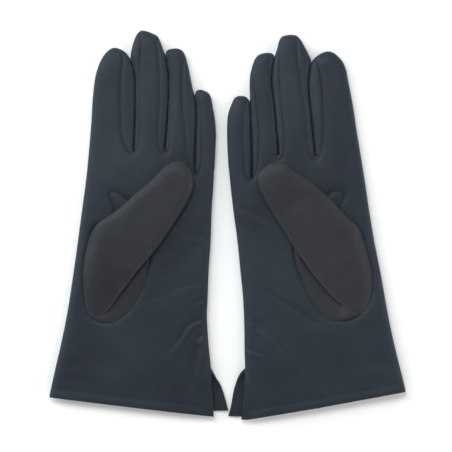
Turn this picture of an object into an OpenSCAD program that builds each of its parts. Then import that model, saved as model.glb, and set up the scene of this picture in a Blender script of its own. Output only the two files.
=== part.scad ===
// A pair of unpadded leather dress gloves lying palm up, thumbs folded over the palms.
// Both gloves are drawn as a left glove; the right one is mirrored about X = 0.

/* [Leather] */
// Thickness of the glove leather
leather = 0.9; // [0.6:0.05:1.1]
// Thickness of the woven lining
lining = 0.4; // [0.2:0.05:0.5]
// Space between the leather and the lining
lining_gap = 0.1; // [0.05:0.05:0.2]
// Diameter of the sewing thread
thread_d = 0.5; // [0.3:0.1:0.8]

/* [Heights] */
// Height of the hand and fingers as they lie
hand_h = 9; // [8.6:0.1:10]
// Height of the folded thumb
thumb_h = 7.6; // [7.4:0.1:8.4]
// Space between the palm and the thumb that lies on it
thumb_gap = 0.3; // [0.2:0.1:0.6]

/* [Joints] */
// Space between a finger and the hand at its root
root_gap = 0.4; // [0.2:0.1:0.6]

/* [Cuff] */
// Depth of the leather turned in at the cuff
hem_depth = 8; // [5:1:12]
// Half the angle at which the vent stands open
vent_angle = 35; // [20:5:50]

/* [Hidden] */
GLOVE_PARTS = [
    "trank_palm", "trank_back", "fourchette_roots", "thumb_quirk", "thumb_base",
    "cuff_hem", "hand_lining", "side_seam_thread", "hem_thread", "thumb_seam_thread",
    "points_thread",
    "index_stall", "index_fourchette", "index_lining", "index_thread",
    "middle_stall", "middle_fourchettes", "middle_lining", "middle_thread",
    "ring_stall", "ring_fourchettes", "ring_lining", "ring_thread",
    "little_stall", "little_fourchette", "little_lining", "little_thread",
    "thumb_stall", "thumb_lining"];

hand_r = hand_h / 2;
thumb_r = thumb_h / 2;
thumb_z = hand_h + thumb_gap + thumb_r;
leather_color = [0.16, 0.18, 0.21];
lining_color = [0.10, 0.11, 0.13];
thread_color = [0.05, 0.055, 0.065];
// Hairlines between pieces that lie on each other and between pieces that are sewn edge to edge.
lay_gap = 0.05;
sewn_gap = 0.1;
foot_z = hand_h + lay_gap;
lining_inset = leather + lining_gap;
// How far the lining is cut back from the thumb hole.
lining_trim = 0.5;
// Share of its last stretch by which a sock's inner wall stops short of its end.
toe_share = 0.15;
// Least air under the leather where the thumb's root rises from the palm.
least_air = 0.15;
// Number of facets in one rounded edge.
arc_steps = 4;
// Angle at which a side strip meets a palm or back strip, leaving a hairline.
seam_angle = 88;
// Angle at which two edges sewn together at mid height stop, leaving a hairline.
butt_angle = 1;
// Share of the leather that is left where it is turned in at the cuff.
hem_thinning = 0.7;
// Distance from the hem's inner edge to its stitches, and the shares of the width at which their points lie.
hem_stitch_in = 1;
hem_stitch_at = [0.06:0.11:0.94];

// Each hand section: index-side point, little-side point, and how far the vent stands open there.
LEFT_PALM = [
    [[-125, -120.5], [-10, -134], 1],
    [[-122.6, -112], [-11.5, -117], 1],
    [[-120.8, -103], [-12.4, -101], 0],
    [[-116.5, -84], [-13, -84], 0],
    [[-112, -63], [-13.8, -63], 0],
    [[-108.5, -42], [-13, -42], 0],
    [[-105.5, -21], [-12, -21], 0],
    [[-102.8, 0], [-11, 0], 0],
    [[-100.3, 19], [-10, 19], 0],
    [[-98.4, 37], [-9.1, 37], 0]];
LEFT_BACK_CUFF = [[[-124.7, -119.4], [0.6, -130.2], 1], [[-122.4, -111], [-4.4, -113], 1]];
RIGHT_PALM = [
    [[-125, -116.8], [-9.8, -136.3], 1],
    [[-123.4, -108.3], [-11.2, -118], 1],
    [[-121, -101.5], [-12.2, -101], 0],
    [[-116.7, -84], [-12, -84], 0],
    [[-113, -63], [-11.3, -63], 0],
    [[-108.6, -42], [-10, -42], 0],
    [[-104.9, -21], [-7.7, -21], 0],
    [[-101.3, 0], [-5.4, 0], 0],
    [[-98, 17], [-3.2, 17], 0],
    [[-95.2, 34], [-1.6, 34], 0]];
RIGHT_BACK_CUFF = [[[-124.8, -115.6], [-0.4, -134.2], 1], [[-123, -107.3], [-5, -114.5], 1]];

// Each finger section: distance up the hand, index-side edge, little-side edge.
LEFT_INDEX = [
    [53, -96.6, -65.9], [73, -95.1, -65.1], [92, -93.9, -64.8], [104, -92.2, -65.3],
    [112, -90.2, -66.5], [119, -86, -69.8], [124, -81.5, -75]];
LEFT_MIDDLE = [
    [53, -64.9, -43.9], [73, -64.3, -42.4], [95, -63.9, -41.3], [112, -65.2, -42.3],
    [122, -66.8, -45.2], [130, -64.7, -48], [136.3, -61, -54]];
LEFT_RING = [
    [53, -43.3, -23.3], [73, -41.8, -22.4], [90, -40.7, -23.1], [104, -40.5, -25.9],
    [112, -41.5, -27.6], [119, -42.2, -30], [123.4, -40, -33.5]];
LEFT_LITTLE = [
    [37, -22.3, -9.1], [52, -22.6, -8.3], [66, -22, -7.8], [78, -21.7, -9.3],
    [86, -21.9, -10.8], [91, -21.4, -12.4], [94.6, -19.5, -15.2]];
RIGHT_INDEX = [
    [50, -93, -61.9], [70, -90, -59.8], [88, -87.2, -58.1], [102, -84.4, -57.5],
    [110, -82.6, -58.4], [117, -78.5, -60.8], [121.4, -73, -67.5]];
RIGHT_MIDDLE = [
    [50, -61.3, -36], [70, -59, -34.3], [90, -57.1, -32.5], [106, -56.9, -31.6],
    [117, -57.4, -32.9], [127, -52.8, -35.8], [133, -47, -41]];
RIGHT_RING = [
    [50, -35.3, -17.9], [70, -33.5, -16.9], [88, -31.7, -16], [103, -30.7, -16],
    [111, -31.1, -17.6], [117, -31.8, -20.4], [120.2, -29.5, -25]];
RIGHT_LITTLE = [
    [34, -17, -1.6], [48, -17, -0.6], [62, -16.3, -0.2], [74, -15.7, -0.4],
    [82, -15.2, -1.9], [87, -14.6, -4.2], [90.2, -12.3, -7.4]];
FINGER_HEIGHT = [1, 1, 1, 0.95, 0.8, 0.56, 0.23];

// The thumb's own line, and its sections: distance along it, index-side edge, little-side edge.
thumb_origin = [-93, -60];
thumb_angle = 31;
LEFT_THUMB = [
    [56, -28.5, 14.6], [64, -24.6, 15.4], [74, -20.7, 16.1], [86, -17.1, 16.5],
    [100, -12.5, 16.3], [110, -10, 14.6], [117, -6.8, 9.8], [120.6, -3, 4.2]];
RIGHT_THUMB = [
    [56, -27, 17.2], [64, -25, 17.3], [74, -23, 17.1], [86, -19.5, 17.4],
    [100, -14.2, 17.4], [110, -10, 16.2], [117, -6.2, 13], [120.9, -1, 5.2]];
THUMB_HEIGHT = [1, 1, 1, 1, 0.95, 0.82, 0.6, 0.27];
LEFT_THUMB_ROOT = [
    [-4, -3, 3.5], [2, -10, 6.6], [14, -18, 8.8], [28, -25, 10.5], [42, -29, 12.3], [56, -28.5, 14.6]];
RIGHT_THUMB_ROOT = [
    [-4, -3, 3], [2, -9, 6], [14, -18.5, 10.6], [28, -24, 13.8], [42, -28, 15.7], [56, -27, 17.2]];
THUMB_ROOT_RISE = [0.15, 0.5, 0.85, 1, 1, 1];

// The thumb hole, the sliver of thumb leather that shows beside the thumb, and the quirk at its top.
LEFT_HOLE = [
    [-85, -68], [-75, -65.5], [-65, -55.5], [-58.5, -42], [-55.2, -30], [-54.6, -19.5], [-86, 0.2],
    [-95, -7], [-99.6, -21], [-100.8, -37], [-100, -52], [-97, -62], [-92, -66.5]];
LEFT_SLIVER = [
    [-85, -67.8], [-75.1, -65.3], [-65.2, -55.4], [-58.7, -42], [-55.4, -30], [-54.8, -19.7],
    [-63, -29.9], [-71, -40.4], [-79, -50.4], [-87, -59.9], [-91, -62.5], [-90, -66.8]];
LEFT_QUIRK = [[-84, -1], [-79.5, 12], [-82.3, 22], [-78.8, 23.4], [-71.5, 19], [-69, -10]];
RIGHT_HOLE = [
    [-83, -67], [-73, -66], [-64, -60], [-57.5, -51], [-53, -40], [-49.5, -30], [-48.5, -22], [-84, -1],
    [-95, -10], [-99, -23], [-101.2, -36], [-100.8, -48], [-98, -57], [-91, -64]];
RIGHT_SLIVER = [
    [-83, -66.8], [-73.1, -65.8], [-64.2, -59.9], [-57.7, -51], [-53.2, -40], [-49.7, -30], [-48.8, -22.3],
    [-56, -28.4], [-65, -40.4], [-73.5, -50.4], [-81, -56.7], [-87, -60.2], [-90, -64.5]];
RIGHT_QUIRK = [[-83, -2], [-78, 11], [-81, 20.5], [-80, 23], [-76, 24], [-70.5, 20.5], [-66, -12]];

// The lines of the three points on the back, from the finger end towards the wrist.
POINTS_LINES = [[[-80, 38], [-76, -22]], [[-57, 38], [-57, -28]], [[-34, 38], [-38, -22]]];

function unit(v) = v / norm(v);
function last_of(t) = t[len(t) - 1];
function but_first(list) = [for (i = [1:len(list) - 1]) list[i]];
function but_last(list) = [for (i = [0:len(list) - 2]) list[i]];

// A section holds its two plan edges, its mid height, its half height, its vent opening and its foot.
function hand_sections(table) = [for (s = table) [s[0], s[1], hand_r, hand_r, s[2], 0]];
function finger_sections(table) =
    [for (i = [0:len(table) - 1])
        let (y = table[i][0] + (i == 0 ? root_gap / 2 : 0))
        [[table[i][1], y], [table[i][2], y], hand_r, hand_r * FINGER_HEIGHT[i], 0, 0]];
function thumb_point(s, a) =
    thumb_origin + s * [sin(thumb_angle), cos(thumb_angle)] + a * [cos(thumb_angle), -sin(thumb_angle)];
function thumb_sections(table) =
    [for (i = [0:len(table) - 1])
        let (s = table[i][0] + (i == 0 ? root_gap / 2 : 0))
        [thumb_point(s, table[i][1]), thumb_point(s, table[i][2]), thumb_z, thumb_r * THUMB_HEIGHT[i], 0, 0]];
// The root of the thumb rises from the palm like a tunnel with a round roof and upright legs.
function thumb_root_sections(table) =
    [for (i = [0:len(table) - 1])
        let (s = table[i][0] - (i == len(table) - 1 ? root_gap / 2 : 0), rise = THUMB_ROOT_RISE[i])
        let (r = max(leather + least_air, thumb_r * rise), top = foot_z + (thumb_z + thumb_r - foot_z) * rise)
        let (mid = max(foot_z + sewn_gap, top - r))
        [thumb_point(s, table[i][1]), thumb_point(s, table[i][2]), mid, r, 0, foot_z]];

// A rib says where a point sits on a section: share of the way between the round ends, angle, leg or not.
function arc_ribs(f, from, to) = [for (i = [0:arc_steps]) [f, from + (to - from) * i / arc_steps, false]];
function half_ribs(side, share, fold = 0) = concat(
    [[0, side * (180 - fold), false]], but_first(arc_ribs(0, side * 180, side * 90)),
    [[share, side * 90, false]], arc_ribs(1, side * 90, side * butt_angle));

function vent(section, f, a) =
    let (e = section[4] * vent_angle)
    f < 1 || e == 0 ? a : sign(a) * (e + abs(a) * (90 - e) / 90);
function section_point(section, rib, inset) =
    let (l = section[0], r = section[1], across = unit(r - l), h = section[3], k = h - inset)
    let (a = vent(section, rib[0], rib[1]))
    let (p = l + across * (h + rib[0] * (norm(r - l) - 2 * h) + k * cos(a)))
    [p[0], p[1], rib[2] ? section[5] : section[2] + k * sin(a)];
function skin(sections, ribs, inset) = [for (s = sections) [for (r = ribs) section_point(s, r, inset)]];

function flat_list(rows) = [for (row = rows) each row];
function quad(a, b, c, d) = [[a, b, c], [a, c, d]];

// A closed sheet between an outer and an inner grid; keep tells how many cells each row of cells has.
module sheet(outer, inside, keep, flip) {
    rows = len(outer);
    cols = len(outer[0]);
    function o(i, j) = i * cols + j;
    function m(i, j) = (rows + i) * cols + j;
    function has(i, j) = i >= 0 && i < rows - 1 && j >= 0 && j < keep[i];
    faces = [for (i = [0:rows - 2], j = [0:keep[i] - 1]) each concat(
        quad(o(i, j), o(i + 1, j), o(i + 1, j + 1), o(i, j + 1)),
        quad(m(i, j), m(i, j + 1), m(i + 1, j + 1), m(i + 1, j)),
        has(i - 1, j) ? [] : quad(o(i, j), o(i, j + 1), m(i, j + 1), m(i, j)),
        has(i + 1, j) ? [] : quad(o(i + 1, j), m(i + 1, j), m(i + 1, j + 1), o(i + 1, j + 1)),
        has(i, j - 1) ? [] : quad(o(i, j), m(i, j), m(i + 1, j), o(i + 1, j)),
        has(i, j + 1) ? [] : quad(o(i, j + 1), o(i + 1, j + 1), m(i + 1, j + 1), m(i, j + 1)))];
    polyhedron(flat_list(concat(outer, inside)), [for (f = faces) flip ? [f[2], f[1], f[0]] : f]);
}
module shell(sections, ribs, inset, thickness, flip = false) {
    sheet(skin(sections, ribs, inset), skin(sections, ribs, inset + thickness),
        [for (s = sections) len(ribs) - 1], flip);
}

// A round cord along a line of points; its section turns with the plan direction.
module cord(line) {
    sides = 4;
    n = len(line);
    function along(i) = line[min(i + 1, n - 1)] - line[max(i - 1, 0)];
    points = [for (i = [0:n - 1], k = [0:sides - 1])
        let (w = unit([along(i)[0], along(i)[1]]), a = 360 * (k + 0.5) / sides)
        line[i] + thread_d / 2 * [-w[1] * cos(a), w[0] * cos(a), sin(a)]];
    function at(i, k) = i * sides + k % sides;
    walls = [for (i = [0:n - 2], k = [0:sides - 1])
        each quad(at(i, k), at(i + 1, k), at(i + 1, k + 1), at(i, k + 1))];
    polyhedron(points, concat(walls,
        [[for (k = [0:sides - 1]) at(0, k)], [for (k = [sides - 1:-1:0]) at(n - 1, k)]]));
}

// A closed sock: an outer and an inner wall, joined round the mouth.
module sock(sections) {
    ribs = concat(arc_ribs(0, 270, 90), arc_ribs(1, 90, -90));
    n = len(ribs);
    m = len(sections);
    end = sections[m - 1] + (sections[m - 2] - sections[m - 1]) * toe_share;
    points = flat_list(concat(skin(sections, ribs, lining_inset),
        skin(concat(but_last(sections), [end]), ribs, lining_inset + lining)));
    function o(i, j) = i * n + j % n;
    function k(i, j) = (m + i) * n + j % n;
    walls = [for (i = [0:m - 2], j = [0:n - 1]) each concat(
        quad(o(i, j), o(i + 1, j), o(i + 1, j + 1), o(i, j + 1)),
        quad(k(i, j), k(i, j + 1), k(i + 1, j + 1), k(i + 1, j)))];
    mouth = [for (j = [0:n - 1]) each quad(o(0, j), o(0, j + 1), k(0, j + 1), k(0, j))];
    polyhedron(points, concat(walls, mouth,
        [[for (j = [n - 1:-1:0]) o(m - 1, j)], [for (j = [0:n - 1]) k(m - 1, j)]]));
}

// What one glove is drawn from.
function left(s) = s == "left";
function palm_table(s) = left(s) ? LEFT_PALM : RIGHT_PALM;
function back_table(s) =
    concat(left(s) ? LEFT_BACK_CUFF : RIGHT_BACK_CUFF, [for (i = [2:len(LEFT_PALM) - 1]) palm_table(s)[i]]);
function main_table(s, side) = side > 0 ? palm_table(s) : back_table(s);
function finger_table(s, f) =
    f == "index" ? (left(s) ? LEFT_INDEX : RIGHT_INDEX)
    : f == "middle" ? (left(s) ? LEFT_MIDDLE : RIGHT_MIDDLE)
    : f == "ring" ? (left(s) ? LEFT_RING : RIGHT_RING)
    : left(s) ? LEFT_LITTLE : RIGHT_LITTLE;
function thumb_table(s) = left(s) ? LEFT_THUMB : RIGHT_THUMB;
function thumb_root_table(s) = left(s) ? LEFT_THUMB_ROOT : RIGHT_THUMB_ROOT;
function hole(s) = left(s) ? LEFT_HOLE : RIGHT_HOLE;
function quirk(s) = left(s) ? LEFT_QUIRK : RIGHT_QUIRK;
function sliver(s) = left(s) ? LEFT_SLIVER : RIGHT_SLIVER;

// The knuckle band carries the first three fingers, a little higher than the little finger.
function index_root(s) = finger_table(s, "index")[0];
function knuckle_right(s) = finger_table(s, "ring")[0][2];
function set_back(p) = p - [0, root_gap / 2];
function top_row(s) = last_of(palm_table(s));
function low_sections(s, side) =
    let (t = main_table(s, side), q = top_row(s))
    hand_sections(concat(but_last(t), [[set_back(q[0]), set_back(q[1]), 0]]));
function knuckle_section(s) =
    [set_back([index_root(s)[1], index_root(s)[0]]), set_back([knuckle_right(s), index_root(s)[0]]),
     hand_r, hand_r, 0, 0];
// Share of the way across the top row at which the knuckle band ends.
function knuckle_share(s) =
    let (l = top_row(s)[0][0], r = top_row(s)[1][0]) (knuckle_right(s) - hand_h - l) / (r - hand_h - l);

// One half of the hand, palm or back, with the step at the little finger.
module hand_half(s, side, inset, thickness, start, fold = 0) {
    share = knuckle_share(s);
    ribs = half_ribs(side, share, fold);
    knuckle_ribs = [for (r = ribs) [min(1, r[0] / share), r[1], false]];
    sections = concat([start], but_first(low_sections(s, side)));
    function grid(d) = concat(skin(sections, ribs, d), skin([knuckle_section(s)], knuckle_ribs, d));
    sheet(grid(inset), grid(inset + thickness),
        [for (i = [1:len(sections)]) i < len(sections) ? len(ribs) - 1 : arc_steps + 1], side < 0);
}
// A plan outline with every point pushed out from its middle.
module plan(points, grow = 0) {
    middle = [for (k = [0, 1]) [for (p = points) p[k]] * [for (p = points) 1] / len(points)];
    polygon([for (p = points) p + grow * unit(p - middle)]);
}
module cut(points, grow = 0) {
    translate([0, 0, hand_r]) linear_extrude(hand_r + 1) plan(points, grow);
}

module trank_palm(s) {
    color(leather_color) difference() {
        hand_half(s, 1, 0, leather, low_sections(s, 1)[0]);
        cut(hole(s));
        cut(quirk(s));
    }
}
module trank_back(s) {
    color(leather_color) hand_half(s, -1, 0, leather, low_sections(s, -1)[0]);
}
// The ends of the side strips that stay on the hand: a wall beside the ring finger and a web in each crotch.
module fourchette_roots(s) {
    high = index_root(s)[0];
    low = top_row(s)[1][1];
    right = knuckle_right(s);
    middle = finger_table(s, "middle")[0];
    little = finger_table(s, "little")[0];
    wall = [for (y = [low, high])
        [set_back([right - hand_h, y]), set_back([right, y]), hand_r, hand_r, 0, 0]];
    webs = [
        [index_root(s)[2] - hand_r, middle[1] + hand_r, high],
        [middle[2] - hand_r, finger_table(s, "ring")[0][1] + hand_r, high],
        [right + sewn_gap, little[1] + hand_r, low]];
    web_z = lining_inset + lining + sewn_gap;
    color(leather_color) {
        shell(wall, arc_ribs(1, seam_angle, -seam_angle), 0, leather);
        for (w = webs)
            translate([w[0], w[2] - root_gap / 2 - leather, web_z])
                cube([w[1] - w[0], leather, hand_h - 2 * web_z]);
    }
}
module thumb_quirk(s) {
    color(leather_color) translate([0, 0, hand_h - leather])
        linear_extrude(leather) plan(quirk(s), -sewn_gap);
}
// The root of the thumb, and the part of the same piece of leather that shows flat beside it.
module thumb_base(s) {
    ribs = concat([[0, 180, true]], arc_ribs(0, 180, 90), arc_ribs(1, 90, 0), [[1, 0, true]]);
    color(leather_color) {
        shell(thumb_root_sections(thumb_root_table(s)), ribs, 0, leather);
        translate([0, 0, hand_h - leather]) linear_extrude(leather + sewn_gap) plan(sliver(s), -sewn_gap);
    }
}
function hem_sections(s, side) =
    let (a = low_sections(s, side), k = hem_depth / norm(a[1][0] - a[0][0]))
    [a[0], a[0] + (a[1] - a[0]) * k];
module cuff_hem(s) {
    color(leather_color) for (side = [1, -1])
        shell(hem_sections(s, side), half_ribs(side, 0.5, butt_angle),
            leather + lay_gap, leather * hem_thinning, side < 0);
}
module hand_lining(s) {
    color(lining_color) {
        difference() {
            hand_half(s, 1, lining_inset, lining, hem_sections(s, 1)[1], butt_angle);
            cut(hole(s), lining_trim);
        }
        hand_half(s, -1, lining_inset, lining, hem_sections(s, -1)[1], butt_angle);
    }
}
module side_seam_thread(s) {
    rows = low_sections(s, 1);
    color(thread_color)
        cord([for (i = [2:len(rows) - 1]) section_point(rows[i], [1, 0, false], leather / 2)]);
}
module hem_thread(s) {
    for (side = [1, -1]) {
        row = hem_sections(s, side)[1];
        z = hand_r + side * (hand_r - leather);
        color(thread_color) cord([for (k = hem_stitch_at)
            let (p = row[0] + (row[1] - row[0]) * k) [p[0], p[1] - hem_stitch_in, z]]);
    }
}
module thumb_seam_thread(s) {
    color(thread_color) cord([for (p = hole(s)) [p[0], p[1], hand_h - leather / 2]]);
}
module points_thread(s) {
    color(thread_color) for (l = POINTS_LINES)
        cord([for (k = [0:0.25:1]) let (p = l[0] + (l[1] - l[0]) * k) [p[0], p[1], leather / 2]]);
}

// A finger without its side strips. The index is folded round its outer side; the little one is sewn there.
module stall(s, f) {
    sections = finger_sections(finger_table(s, f));
    color(leather_color) {
        if (f == "index")
            shell(sections, concat([[1, -90, false]], arc_ribs(0, 270, 90), [[1, 90, false]]), 0, leather);
        else for (side = [1, -1]) {
            far = f == "little" ? arc_ribs(1, side * 90, side * butt_angle) : [[1, side * 90, false]];
            shell(sections, concat([[0, side * 90, false]], far), 0, leather, side < 0);
        }
    }
}
module fourchettes(s, f, ends) {
    color(leather_color) for (end = ends)
        shell(finger_sections(finger_table(s, f)),
            end == 1 ? arc_ribs(1, seam_angle, -seam_angle) : arc_ribs(0, 180 + seam_angle, 180 - seam_angle),
            0, leather);
}
module finger_lining(s, f) {
    color(lining_color) sock(but_last(finger_sections(finger_table(s, f))));
}
module finger_thread(s, f, ends) {
    color(thread_color) for (end = ends, a = [90, -90])
        cord([for (q = finger_sections(finger_table(s, f))) section_point(q, [end, a, false], leather / 2)]);
}
module thumb_stall(s) {
    ribs = concat(
        arc_ribs(0, 180 - butt_angle, 90), arc_ribs(1, 90, 0), but_first(arc_ribs(1, 0, -90)),
        arc_ribs(0, 270, 180 + butt_angle));
    color(leather_color) shell(thumb_sections(thumb_table(s)), ribs, 0, leather);
}
module thumb_lining(s) {
    color(lining_color) sock(but_last(thumb_sections(thumb_table(s))));
}

module glove_part(s, part) {
    if (part == "trank_palm") trank_palm(s);
    if (part == "trank_back") trank_back(s);
    if (part == "fourchette_roots") fourchette_roots(s);
    if (part == "thumb_quirk") thumb_quirk(s);
    if (part == "thumb_base") thumb_base(s);
    if (part == "cuff_hem") cuff_hem(s);
    if (part == "hand_lining") hand_lining(s);
    if (part == "side_seam_thread") side_seam_thread(s);
    if (part == "hem_thread") hem_thread(s);
    if (part == "thumb_seam_thread") thumb_seam_thread(s);
    if (part == "points_thread") points_thread(s);
    if (part == "index_fourchette") fourchettes(s, "index", [1]);
    if (part == "middle_fourchettes") fourchettes(s, "middle", [0, 1]);
    if (part == "ring_fourchettes") fourchettes(s, "ring", [0, 1]);
    if (part == "little_fourchette") fourchettes(s, "little", [0]);
    for (f = ["index", "middle", "ring", "little"]) {
        if (part == str(f, "_stall")) stall(s, f);
        if (part == str(f, "_lining")) finger_lining(s, f);
        if (part == str(f, "_thread"))
            finger_thread(s, f, f == "index" ? [1] : f == "little" ? [0] : [0, 1]);
    }
    if (part == "thumb_stall") thumb_stall(s);
    if (part == "thumb_lining") thumb_lining(s);
}
for (part = GLOVE_PARTS) {
    glove_part("left", part);
    mirror([1, 0, 0]) glove_part("right", part);
}
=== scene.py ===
import math

import bmesh
import bpy
import numpy as np
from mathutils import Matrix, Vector, noise
from mathutils.geometry import delaunay_2d_cdt


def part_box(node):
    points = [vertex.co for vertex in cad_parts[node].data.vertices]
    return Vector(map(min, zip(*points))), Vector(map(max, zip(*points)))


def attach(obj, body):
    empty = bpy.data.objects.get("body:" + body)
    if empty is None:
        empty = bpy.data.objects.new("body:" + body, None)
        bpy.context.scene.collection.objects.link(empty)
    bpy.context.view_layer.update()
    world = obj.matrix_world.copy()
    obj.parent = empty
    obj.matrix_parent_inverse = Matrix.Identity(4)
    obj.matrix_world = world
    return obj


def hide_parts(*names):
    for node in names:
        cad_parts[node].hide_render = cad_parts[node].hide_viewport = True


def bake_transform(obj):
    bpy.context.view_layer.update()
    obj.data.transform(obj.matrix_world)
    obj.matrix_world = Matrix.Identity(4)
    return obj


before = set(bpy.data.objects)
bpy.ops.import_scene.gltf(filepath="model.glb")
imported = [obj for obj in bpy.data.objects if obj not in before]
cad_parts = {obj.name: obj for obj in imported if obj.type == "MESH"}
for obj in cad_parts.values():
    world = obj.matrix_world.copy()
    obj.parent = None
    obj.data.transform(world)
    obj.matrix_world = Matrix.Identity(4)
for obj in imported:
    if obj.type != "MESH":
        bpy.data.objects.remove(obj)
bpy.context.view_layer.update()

# Lengths are millimetres until a mesh is made. Both gloves are described as a left glove.
MM = 0.001
LEATHER = 0.8                 # thickness of the outer leather
GRID = 1.45                   # spacing of the surface points
HAND_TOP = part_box("left_trank_palm")[1].z / MM
MID = HAND_TOP / 2
THUMB_FOOT, THUMB_TOP = [corner.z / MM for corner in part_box("left_thumb_stall")]
THUMB_MID = (THUMB_TOP + THUMB_FOOT) / 2
THUMB_ORIGIN = np.array([-93.0, -60.0])
THUMB_TURN = math.radians(31)
THUMB_ALONG = np.array([math.sin(THUMB_TURN), math.cos(THUMB_TURN)])
THUMB_ACROSS = np.array([math.cos(THUMB_TURN), -math.sin(THUMB_TURN)])
THUMB_ROOT = 56.0             # how far along the thumb its hinge line lies


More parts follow.
